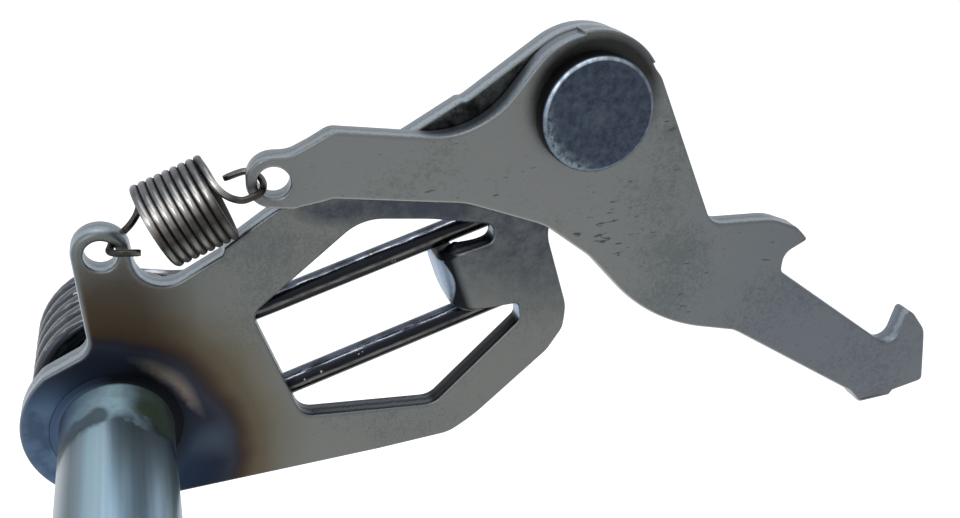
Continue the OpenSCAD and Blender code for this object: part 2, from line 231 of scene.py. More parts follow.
# the pinch-bolt groove is an arc of the bolt's radius
pinch_floor = serration_r - serration_depth - 0.3
pinch_half = math.sqrt(pinch_r ** 2 - (pinch_floor + pinch_r - serration_r) ** 2)
pinch_arc = [(pinch_y + s, pinch_floor + pinch_r - math.sqrt(pinch_r ** 2 - s * s))
             for s in np.linspace(-pinch_half, pinch_half, 15)]
spindle_profile = (
    [(front_end, 3.2), (front_end, 5.6), (front_end + 0.15, 5.85), (front_end + 0.95, 6.7),
     (front_end + 1.2, serration_r), (front_end + 3, serration_r)] + pinch_arc
    + [(serration_start - 2.4, serration_r), (serration_start - 0.1, serration_r),
       (serration_start, serration_r), (serration_start + 0.02, 6.85),
       (serration_start + 0.2, journal_r)]
    + [(y, journal_r) for y in (-80, -60, -40, -20, -6, -0.8)]
    + [(-0.35, 7.02), (-0.16, 7.1), (-0.05, 7.28), (0.0, 7.6), (0.02, 8.17), (0.1, 8.17),
       (0.78, seat_r), (3, seat_r), (3.02, journal_r), (15, journal_r)]
    + [(groove_from - 0.12, journal_r), (groove_from, journal_r - 0.12), (groove_from, groove_r),
       (groove_to, groove_r), (groove_to, journal_r - 0.12), (groove_to + 0.12, journal_r)]
    + [(rear_end - 1.2, journal_r), (rear_end - 0.95, journal_r - 0.1), (rear_end - 0.12, 6.12),
       (rear_end, 5.9), (rear_end, 3.2)])
spindle = piece("spindle_bar", *turned(spindle_profile, teeth * 6, serrated), sharp=24)


def surface(tree):
    """The place on a piece in mm, and the way that it faces there."""
    place = add(tree, "TexCoord")
    in_mm = add(tree, "VectorMath", [place.outputs["Object"], 1 / MM], operation="SCALE")
    return in_mm, place.outputs["Normal"]


def squarely(tree, normal):
    """How squarely the surface faces along the spindle, 0 to 1."""
    parts = add(tree, "SeparateXYZ", [normal])
    return add(tree, "Math", [parts.outputs["Y"]], operation="ABSOLUTE")


def line_distance(tree, place, a, b):
    """Distance in mm from the line between a and b."""
    a, b = np.array(a, float), np.array(b, float)
    from_a = add(tree, "VectorMath", [place, tuple(a)], operation="SUBTRACT")
    part = add(tree, "VectorMath", [from_a, tuple((b - a) / ((b - a) @ (b - a)))],
               operation="DOT_PRODUCT")
    part = add(tree, "Math", [part, 0.0], operation="ADD", use_clamp=True)
    foot = add(tree, "VectorMath", [tuple(b - a), part], operation="SCALE")
    return add(tree, "VectorMath", [from_a, foot], operation="DISTANCE")


def colour_stops(ramp, stops):
    """The ramp node, set to (place, hex colour) stops."""
    points = ramp.color_ramp.elements
    while len(points) < len(stops):
        points.new(0.5)
    for i in reversed(range(len(stops))):
        points[i].position = stops[i][0]
    for point, (_, code) in zip(points, stops):
        point.color = linear(code)
    return ramp


def toned(tree, colour, noise, low, high, at_low, at_high):
    """The colour times at_low where the noise is low, to at_high where it is high."""
    tone = add(tree, "MapRange", [noise, low, high, at_low, at_high])
    return add(tree, "VectorMath", [colour, tone], operation="SCALE")


def metal_surface(tree, colour, metallic, roughness, relief=None, strength=0.0, height=0.1 * MM):
    """Ends a material as metal, with the relief standing up to height metres high."""
    finish = {"Base Color": colour, "Metallic": metallic, "Roughness": roughness}
    if relief:
        bump = {"Height": relief, "Strength": strength, "Distance": height}
        finish["Normal"] = add(tree, "Bump", bump)
    add(tree, "OutputMaterial", {"Surface": add(tree, "BsdfPrincipled", finish)})


# bright-drawn steel: a cool, fairly sharp mirror with draw lines along the bar and painted
# reflection bands round it; the weld's heat has left the last centimetre before the plate dull,
# with oil stains
tree = new_material("bright_drawn_steel", spindle)
in_mm, normal = surface(tree)
# draw lines about 0.4 mm apart that run tens of millimetres
along = add(tree, "Mapping", {"Vector": in_mm, "Scale": (2.4, 0.03, 2.4)})
lines = add(tree, "TexNoise", {"Vector": along, "Scale": 1.0, "Detail": 3.0})
# wide bands from the drawing die, 3 mm across, and a painted reflection round the bar: lighter and
# darker bands by the way the surface faces, darkest at the left
wide = add(tree, "Mapping", {"Vector": in_mm, "Scale": (0.33, 0.012, 0.33)})
bands = add(tree, "TexNoise", {"Vector": wide, "Scale": 1.0, "Detail": 2.0})
sway = add(tree, "MapRange", [bands, 0.3, 0.7, 0.48, 0.52])
across = add(tree, "VectorMath", [normal, (0.99, 0, -0.142)], operation="DOT_PRODUCT")
across = add(tree, "Math", [across, 0.5, sway], operation="MULTIPLY_ADD")
steel_and_painted_reflection = colour_stops(add(tree, "ValToRGB", [across]), [(0.05, "#818b94"), (0.13, "#55676e"),
    (0.18, "#6f818e"), (0.27, "#88a4b3"), (0.36, "#98b2c1"), (0.48, "#a6c6dc"), (0.57, "#a0c0d6"),
    (0.63, "#93b0c5"), (0.75, "#9ab4ca"), (0.87, "#94afc1"), (0.96, "#6e8493")])
steel_and_painted_reflection = toned(tree, steel_and_painted_reflection, lines, 0.3, 0.7, 0.9, 1.05)
# the two ends were faced on a lathe and show rings 0.3 mm apart
end_on = add(tree, "MapRange", [squarely(tree, normal), 0.6, 0.9])
no_depth = (1, 0, 1)    # a place times this lies in the plane of the plate's face
out_from = add(tree, "VectorMath", [in_mm, no_depth], operation="MULTIPLY")
out_from = add(tree, "VectorMath", [out_from], operation="LENGTH")
rings = add(tree, "TexNoise", {"W": out_from, "Scale": 3.4, "Detail": 1.0}, noise_dimensions="1D")
faced = toned(tree, linear("#8b959c")[:3], rings, 0.3, 0.7, 0.75, 1.1)
steel_and_painted_reflection = add(tree, "Mix", [end_on, steel_and_painted_reflection, faced], data_type="RGBA")
# dulled within 8.5 mm of the plate's face, with a ragged edge
blot = add(tree, "TexNoise", {"Vector": in_mm, "Scale": 0.45, "Detail": 4.0, "Distortion": 0.4})
depth = add(tree, "SeparateXYZ", [in_mm])
from_plate = add(tree, "Math", [depth.outputs["Y"], 1.5], operation="SUBTRACT")
from_plate = add(tree, "Math", [from_plate], operation="ABSOLUTE")
ragged = add(tree, "Math", [blot, 6.0, from_plate], operation="MULTIPLY_ADD")
dull = add(tree, "MapRange", [ragged, 13.4, 11.4])
# painted shade and reflection on the dull zone: a colour ramp by the way the surface faces round
# the bar, darker at both sides
cap_painted_shading = colour_stops(add(tree, "ValToRGB", [across]), [(0.03, "#2e3d50"), (0.1, "#4a5f70"),
    (0.19, "#68808f"), (0.34, "#7b919d"), (0.43, "#93aebd"), (0.52, "#94b2ba"), (0.61, "#768e99"),
    (0.7, "#4c5a5e"), (0.81, "#3d5046"), (0.93, "#3e4746")])
cap_painted_shading = toned(tree, cap_painted_shading, blot, 0.35, 0.65, 1.15, 0.85)
steel_and_painted_reflection = add(tree, "Mix", [dull, steel_and_painted_reflection, cap_painted_shading], data_type="RGBA")
# streaks of black oil along its lower left and right and a green one at the upper right
for a, b, width, code in (((-6.9, -4.0, 0.5), (-6.2, -8.0, 3.4), 1.9, "#32444f"),
                          ((-6.2, -8.0, 3.4), (-1.6, -6.9, 6.8), 2.3, "#2c3c46"),
                          ((4.4, -5.0, 5.4), (5.6, -7.4, 4.2), 2.3, "#33422f"),
                          ((6.9, -1.0, 1.0), (6.9, -9.0, 1.0), 2.2, "#2a3332")):
    off = line_distance(tree, in_mm, a, b)
    off = add(tree, "Math", [blot, 3.6, off], operation="MULTIPLY_ADD")
    stain = add(tree, "MapRange", [off, width + 1.9, width + 0.7, 0, 0.85])
    steel_and_painted_reflection = add(tree, "Mix", [stain, steel_and_painted_reflection, linear(code)], data_type="RGBA")
# scale on the last half millimetre on either side of the plate, blue at the left; towards the
# right it turns black, painted shade in the corner with the plate
scale_and_painted_shade_zone = add(tree, "MapRange", [from_plate, 2.05, 1.65])
painted_shade_to_right = add(tree, "MapRange", [depth.outputs["X"], -7.0, 0.5])
scale = add(tree, "Mix", [painted_shade_to_right, linear("#3f5066"), linear("#141519")], data_type="RGBA")
steel_with_scale_and_shade = add(tree, "Mix", [scale_and_painted_shade_zone, steel_and_painted_reflection, scale], data_type="RGBA")
rough = add(tree, "MapRange", [dull, 0, 1, 0.34, 0.55])
bare = add(tree, "MapRange", [dull, 0, 1, 1.0, 0.4])
bare = add(tree, "Math", [bare, scale_and_painted_shade_zone], operation="MAXIMUM")
metal_surface(tree, steel_with_scale_and_shade, bare, rough, lines, 0.1)
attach(spindle, "spindle_assembly")
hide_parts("spindle")


# ---------------------------------------------------------------------------------------------
# Shift plate
# Blanked from 3 mm cold-rolled steel: the punch rolls the front edges over and leaves the cut
# walls bright. A tab is bent back through the window, and welding the spindle in has run heat
# colours over the face.

def front_loops(node, tilt):
    """Closed outlines, in mm, of a flat piece's front face: flat faces whose normal is within
    tilt degrees of straight forward. The metal lies to the left of each outline."""
    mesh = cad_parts[node].data
    key = lambda i: tuple(round(c * 1000, 4) for c in mesh.vertices[i].co)
    count = {}
    for face in mesh.polygons:
        if face.normal.y < -math.cos(math.radians(tilt)):
            ring = [key(i) for i in face.vertices]
            for a, b in zip(ring, ring[1:] + ring[:1]):
                if (b, a) in count:
                    del count[(b, a)]
                elif a != b:
                    count[(a, b)] = True
    follow = {a: b for a, b in count}
    loops = []
    while follow:
        start, at = next(iter(follow.items()))
        loop = [start]
        del follow[start]
        while at != start:
            loop.append(at)
            at = follow.pop(at)
        loops.append(np.array([(p[0], p[2], p[1]) for p in loop]))
    return loops


def eased(loop, corner=24, long_side=2.6, parts=3):
    """The same outline with its short facets drawn out into curves; corners stay sharp, and it
    grows no larger."""
    n = len(loop)
    sides = np.roll(loop, -1, axis=0) - loop
    lengths = np.linalg.norm(sides, axis=1)
    units = sides / lengths[:, None]
    tangents = []
    for i in range(n):
        before, after = units[i - 1], units[i]
        if before @ after < math.cos(math.radians(corner)):
            tangents.append((before, after))
        elif lengths[i - 1] > long_side > lengths[i]:
            tangents.append((before, before))
        elif lengths[i] > long_side > lengths[i - 1]:
            tangents.append((after, after))
        else:
            t = before + after
            tangents.append((t / np.linalg.norm(t),) * 2)
    out = []
    for i in range(n):
        a, b = loop[i], loop[(i + 1) % n]
        out.append(a)
        if lengths[i] < long_side and lengths[i] > 0.25:
            ta, tb = tangents[i][1] * lengths[i], tangents[(i + 1) % n][0] * lengths[i]
            for k in range(1, parts):
                s = k / parts
                out.append((2 * s**3 - 3 * s * s + 1) * a + (s**3 - 2 * s * s + s) * ta
                           + (3 * s * s - 2 * s**3) * b + (s**3 - s * s) * tb)
    return np.clip(out, loop.min(axis=0), loop.max(axis=0))


def rounded(loop, corner, reach):
    """The outline with the points within reach of the corner swapped for a curve."""
    corner = np.array(corner)
    inside = np.linalg.norm(loop - corner, axis=1) < reach
    if not inside.any():
        return loop
    while inside[0]:
        loop, inside = np.roll(loop, 1, axis=0), np.roll(inside, 1)
    first = np.argmax(inside)
    last = len(loop) - 1 - np.argmax(inside[::-1])
    ends = []
    for a, b in ((loop[first - 1], loop[first]), (loop[(last + 1) % len(loop)], loop[last])):
        way = corner - a
        ends.append(a + way * max(0.0, 1 - reach / np.linalg.norm(way)))
    curve = [(1 - t) ** 2 * ends[0] + 2 * t * (1 - t) * corner + t * t * ends[1]
             for t in np.linspace(0, 1, 8)]
    return np.vstack([loop[:first], curve, loop[last + 1:]])


def inset(loop, d):
    """The outline moved into the metal, which lies to its left, by d mm: one number, or one for
    each point. Folds are closed up."""
    units = np.roll(loop, -1, axis=0) - loop
    units /= np.linalg.norm(units, axis=1)[:, None]
    normals = np.stack([-units[:, 1], units[:, 0]], axis=1)
    before = np.roll(normals, 1, axis=0)
    reach = 1 + np.sum(normals * before, axis=1)
    moved = loop + np.reshape(d, (-1, 1)) * (normals + before) / np.maximum(reach, 0.55)[:, None]
    for _ in range(12):
        now = np.roll(moved, -1, axis=0) - moved
        folded = np.where(np.sum(now * units, axis=1) < 0)[0]
        if not len(folded):
            break
        for i in folded:
            k = (i + 1) % len(loop)
            moved[i] = moved[k] = (moved[i] + moved[k]) / 2
    return moved


countersunk = 0.78


def stamping(loops, back, front, roll, burr, sunk=(), worn=None):
    """Points and faces of a blank between depths back and front, in mm: front edges rolled over
    by roll, back edges broken by burr. The holes named in sunk keep a sharp edge and are
    countersunk. worn gives how far wear has rounded each point of an outline, 0 to 1."""
    bend = [math.radians(a) for a in (0, 15, 32, 50, 70, 90)]
    rings = [(burr + 0.3, back, 0), (burr, back, 0), (burr * 0.3, back + burr * 0.3, 0),
             (0, back + burr, 0)]
    rings += [(0, front - depth, 0) for depth in (1.4, 0.8) if front - depth > back + burr]
    rings += [(roll * (1 - math.cos(a)), front - roll * 0.8 * (1 - math.sin(a)), 1) for a in bend]
    rings += [(roll, front, 1)]
    points, faces = [], []
    starts = {}
    for j, (d, z, rolled) in enumerate(rings):
        for i, loop in enumerate(loops):
            starts[j, i] = len(points)
            wear = worn(loop) if worn else np.zeros(len(loop))
            wider, deeper = 1 + 0.6 * wear, 1 + 1.9 * wear
            sharp = 0.12 if i in sunk and rolled else 1.0
            if rolled:
                depth, inward = (front - z) * sharp * deeper, d * sharp * wider
            else:
                least = (1 + 0.2 * (front - z)) * roll * 0.8 * deeper
                depth = np.full(len(loop), front - z)
                if z > back + burr:
                    depth = np.minimum(np.maximum(depth, least), front - back - burr - 0.05)
                inward = np.full(len(loop), d)
            narrow = countersunk * np.clip((depth - 0.1) / 0.7, 0, 1) if i in sunk else 0.0
            flat_in = 0.1 if j == len(rings) - 1 else 0.0
            ring = inset(loop, inward + flat_in - narrow)
            points += [(p[0] * MM, (deep - front) * MM, p[1] * MM) for p, deep in zip(ring, depth)]
    for j in range(len(rings) - 1):
        for i, loop in enumerate(loops):
            faces += band(starts[j, i], starts[j + 1, i], len(loop))
    for j in (0, len(rings) - 1):
        order = [starts[j, i] + k for i, loop in enumerate(loops) for k in range(len(loop))]
        rims = [[Vector((x * 1000, z * 1000, 0)) for x, _, z in points[starts[j, i]:][:len(loop)]]
                for i, loop in enumerate(loops)]
        faces += [tuple(order[k] for k in three) for three in tessellate_polygon(rims)]
    return points, faces


def flat(loops):
    """The outlines without their depths."""
    return [loop[:, :2] for loop in loops]


def beside_tab(u, v, z):
    """A place u mm from the spindle along the tab's direction, v across it and z forward."""
    return (u * math.cos(tab_turn) - v * math.sin(tab_turn), -z,
            u * math.sin(tab_turn) + v * math.cos(tab_turn))


plate_t = 3.0
tab_turn = math.radians(15.8)
# across the tab towards its upper edge, and straight out of its outer side
tab_up, tab_out = (-0.272, 0, 0.962), (-0.962, 0, -0.272)
tab_u, tab_w, tab_depth, tab_bend = 46.6, 9.4, 9.0, 1.1
plate_loops = flat(front_loops("shift_plate", 1))
# the slot above the tab ends in a round, and the window's upper left corner is wide
for corner, reach in (((51.3, 21.9), 1.25), ((51.5, 19.4), 1.25), ((33.5, 25.1), 3.0)):
    plate_loops = [rounded(loop, corner, reach) for loop in plate_loops]
plate_loops = [eased(loop) for loop in plate_loops]
bore = [i for i, loop in enumerate(plate_loops) if np.linalg.norm(loop, axis=1).max() < 9]


def eye_wear(loop):
    """The spring and handling have worn the outside of the eye, and of its neck, well round."""
    gap = np.linalg.norm(loop - (1.7, 24.6), axis=1)
    if gap.max() < 3:
        return np.zeros(len(loop))
    left = np.clip((4 - loop[:, 0]) / 6, 0, 1) * np.clip((loop[:, 1] - 8) / 6, 0, 1)
    return np.maximum(np.clip((8 - gap) / 4, 0, 1), left)


plate = piece("plate_blank", *stamping(plate_loops, -plate_t, 0, 0.5, 0.12, bore, eye_wear),
              sharp=50)


def tab_solid():
    """Rings round the tab from its root in the plate, round the bend, to its free end."""
    bend_c = (tab_u + tab_bend + plate_t, -tab_bend - plate_t)
    mid_r = tab_bend + plate_t / 2
    line = [(u, -plate_t / 2, 90.0) for u in (tab_u + 9.2, 54.4, 53.3, 52.4, 51.7, 51.2)]
    line += [(bend_c[0] + mid_r * math.cos(math.radians(a)),
              bend_c[1] + mid_r * math.sin(math.radians(a)), a) for a in np.linspace(90, 180, 13)]
    line += [(tab_u + plate_t / 2, z, 180.0)
             for z in np.linspace(bend_c[1] - 0.5, -tab_depth + 2, 4)]
    free = 2.0
    line += [(tab_u + plate_t / 2, -tab_depth + free * (1 - math.sin(a)), 180.0)
             for a in np.radians([12, 26, 40, 54, 66, 78])]
    points, faces = [], []
    corner = [math.radians(a) for a in (0, 15, 30, 45, 60, 75, 90)]
    for i, (u, z, a) in enumerate(line):
        rest = z + tab_depth
        half = tab_w / 2
        # bending presses metal out of the upper side, most at its back and a third of the way
        # round
        if a == 90.0:
            swell = 0.13 * max(0.0, 53.3 - u) ** 1.4
        else:
            round_bend = math.sin(math.radians(35 + min(55.0, (a - 90) * 1.4)))
            swell = 0.68 * round_bend * min(1.0, (180 - a) / 50)
        if a == 180.0 and rest < free:
            half -= free - math.sqrt(max(0.0, free ** 2 - (free - rest) ** 2))
        thick = plate_t / 2 - 0.01
        if rest < 0.1:
            thick -= 0.1 - rest
        out = (math.cos(math.radians(a)), math.sin(math.radians(a)))
        # the outer side of the bend pulls in along its edges
        bent = (a - 90) / 90
        wide, tall = 0.42 + 1.5 * bent, 0.42 + 0.75 * bent
        for sv, so in ((1, 1), (-1, 1), (-1, -1), (1, -1)):
            steps = corner if sv == so else corner[::-1]
            w, h = (min(wide, half - 0.3), tall) if so > 0 else (0.3, 0.3)
            reach = half + (0.0 if sv < 0 else swell if so < 0 else 0.35 * swell)
            for c in steps:
                v, o = sv * (reach - w + w * math.cos(c)), so * (thick - h + h * math.sin(c))
                place = beside_tab(u + o * out[0], v, z + o * out[1])
                points.append([x * MM for x in place])
    n = 4 * len(corner)
    for i in range(len(line) - 1):
        faces += band(i * n, (i + 1) * n, n)
    faces += [tuple(range(n)), tuple(range((len(line) - 1) * n, len(line) * n))]
    return points, faces


tab = piece("plate_tab", *tab_solid(), sharp=60)
join = plate.modifiers.new("tab", "BOOLEAN")
join.operation = "UNION"
join.solver = "EXACT"
join.object = tab
bpy.context.view_layer.update()
whole = bpy.data.meshes.new_from_object(plate.evaluated_get(bpy.context.evaluated_depsgraph_get()))
plate.modifiers.clear()
plate.data = whole
bpy.data.objects.remove(tab)
whole.shade_smooth()
whole.set_sharp_from_angle(angle=math.radians(50))


# cold-rolled steel, blanked and tumbled: satin grey faces, edges rolled over by the punch, and cut
# walls that are bright for the first third and torn dull behind it
def blanked_steel(tree, front, underside_painted_tone, colour_face, colour_wall, bend=None):
    """Makes the metal of a blank whose front face lies at depth front in mm. colour_face and
    colour_wall make the colours of its faces and cut walls, and bend changes them at a bend."""
    in_mm, normal = surface(tree)
    facing = squarely(tree, normal)
    face = colour_face(tree, in_mm)
    # cut wall: bright from 0.4 to 1.3 mm deep, torn behind that, with marks 0.3 mm apart
    across = add(tree, "Mapping", {"Vector": in_mm, "Scale": (2.6, 0.25, 2.6)})
    shear = add(tree, "TexNoise", {"Vector": across, "Scale": 1.0, "Detail": 3.0})
    depth = add(tree, "SeparateXYZ", [in_mm])
    depth = add(tree, "Math", [depth.outputs["Y"], front], operation="ADD")
    ragged = add(tree, "Math", [shear, 0.9, depth], operation="MULTIPLY_ADD")
    wall = colour_wall(tree, in_mm, normal, ragged)
    # the rolled edge keeps the mill face's grey, darker on top; where it faces down it takes a
    # painted tone, painted shade on the plate and a painted highlight on the arm
    under = add(tree, "MapRange", [add(tree, "SeparateXYZ", [normal]).outputs["Z"], 0.1, -0.35])
    roll = add(tree, "Mix", [under, linear("#5f6467"), underside_painted_tone], data_type="RGBA")
    to_roll = add(tree, "MapRange", [facing, 0.35, 0.65])
    to_face = add(tree, "MapRange", [facing, 0.82, 0.98])
    rolled = add(tree, "Mix", [to_roll, wall, roll], data_type="RGBA")
    colour = add(tree, "Mix", [to_face, rolled, face], data_type="RGBA")
    if bend:
        colour = bend(tree, in_mm, normal, facing, colour)
    # tumbling leaves a grain of about 0.3 mm
    grain = add(tree, "TexNoise", {"Vector": in_mm, "Scale": 3.2, "Detail": 3.0, "Roughness": 0.6})
    swell = add(tree, "TexNoise", {"Vector": in_mm, "Scale": 0.16, "Detail": 2.0})
    height = add(tree, "Math", [grain, 0.16, swell], operation="MULTIPLY_ADD")
    rough = add(tree, "MapRange", [grain, 0.3, 0.7, 0.34, 0.48])
    metal_surface(tree, colour, 1.0, rough, height, 0.5, 0.12 * MM)


def colour_over(tree, distance, reach, stops):
    """Colours by a distance of 0 to reach mm, with stops in parts of reach."""
    part = add(tree, "Math", [distance, reach], operation="DIVIDE")
    return colour_stops(add(tree, "ValToRGB", [part]), stops)


def cut_wall(tree, in_mm, normal, depth):
    """Grey-blue where the punch burnished it, dull where the steel tore."""
    return colour_over(tree, depth, 4.0, [(0.14, "#707880"), (0.22, "#949fa9"), (0.4, "#8b96a0"),
                                          (0.5, "#6f7880"), (0.75, "#7d868f")])


def toward(tree, normal, direction, low, high, most=1.0):
    """From 0 where the dot product with the direction is low to most where it is high."""
    dot = add(tree, "VectorMath", [normal, direction], operation="DOT_PRODUCT")
    return add(tree, "MapRange", [dot, low, high, 0, most])


def patch(tree, place, centre, none, full, most=1.0, shift=None):
    """A patch round a centre: 0 from none mm out, most within full mm. shift makes it ragged."""
    gap = add(tree, "VectorMath", [place, centre], operation="DISTANCE")
    if shift:
        gap = add(tree, "Math", [gap, shift], operation="ADD")
    return add(tree, "MapRange", [gap, none, full, 0, most])


def window_wall(tree, in_mm, normal, depth):
    """As cut_wall outside. Inside the window the walls are painted dark as shade, nearly black,
    but for those that look back towards the spindle, which are painted light."""
    outer = cut_wall(tree, in_mm, normal, depth)
    painted_shade_wall = colour_over(tree, depth, 4.0, [(0.12, "#6d7276"), (0.2, "#2a2d31"), (0.36, "#565c62"),
                                           (0.52, "#24272c"), (0.66, "#4b5159"), (0.8, "#1c1e22")])
    back = toward(tree, normal, tab_out, 0.55, 0.9)
    inner = add(tree, "Mix", [back, painted_shade_wall, linear("#8f9faf")], data_type="RGBA")
    # painted shade, blackest on the slanted wall at the window's lower right
    slant = toward(tree, normal, (-0.75, 0, 0.66), 0.8, 0.92, 0.85)
    inner = add(tree, "Mix", [slant, inner, linear("#0c0d10")], data_type="RGBA")
    squat = add(tree, "VectorMath", [in_mm, (0.6, 0, 1)], operation="MULTIPLY")
    inside = patch(tree, squat, (22.8, 0, 9.0), 17.2, 16.4)
    return add(tree, "Mix", [inside, outer, inner], data_type="RGBA")


def bent_tab(tree, in_mm, normal, facing, colour):
    """Paints light and shade on the tab's outer side: a painted highlight where it faces sideways,
    and painted shade round the bend."""
    flat_place = add(tree, "VectorMath", [in_mm, no_depth], operation="MULTIPLY")
    gap = line_distance(tree, flat_place, (47.6, 0, 8.7), (44.5, 0, 19.6))
    near = add(tree, "MapRange", [gap, 3.4, 2.6])
    outer = toward(tree, normal, tab_out, 0.2, 0.4)
    near = add(tree, "Math", [near, outer], operation="MULTIPLY")
    # the painted highlight reaches furthest round the bend a little above the tab's middle
    along = add(tree, "VectorMath", [flat_place, tab_up], operation="DOT_PRODUCT")
    along = add(tree, "Math", [along, -1.0], operation="ADD")
    along = add(tree, "Math", [along, along], operation="MULTIPLY")
    rim = add(tree, "Math", [along, 0.019, facing], operation="MULTIPLY_ADD")
    # and stops short of its upper edge
    upper = toward(tree, normal, tab_up, 0.2, 0.7)
    rim = add(tree, "Math", [rim, upper], operation="ADD")
    past = add(tree, "MapRange", [rim, 0.71, 0.76])
    bend_light_and_shade = add(tree, "Mix", [past, linear("#8797a8"), linear("#16181b")], data_type="RGBA")
    fade = add(tree, "MapRange", [facing, 0.93, 0.8])
    fade = add(tree, "Math", [fade, near], operation="MULTIPLY")
    return add(tree, "Mix", [fade, colour, bend_light_and_shade], data_type="RGBA")


def mill_face(tree, in_mm, dark, light):
    """Satin grey that drifts over 14 mm, with a mottle 1.5 mm across and a grain of 0.4 mm."""
    broad = add(tree, "TexNoise", {"Vector": in_mm, "Scale": 0.07, "Detail": 1.0})
    mottle = add(tree, "TexNoise",
                 {"Vector": in_mm, "Scale": 0.65, "Detail": 4.0, "Roughness": 0.6})
    fine = add(tree, "TexNoise", {"Vector": in_mm, "Scale": 2.6, "Detail": 1.0})
    mix = add(tree, "Math", [mottle, 0.55, broad], operation="MULTIPLY_ADD")
    mix = add(tree, "Math", [fine, 0.5, mix], operation="MULTIPLY_ADD")
    return colour_stops(add(tree, "ValToRGB", [mix]), [(0.75, dark), (1.0, light)])


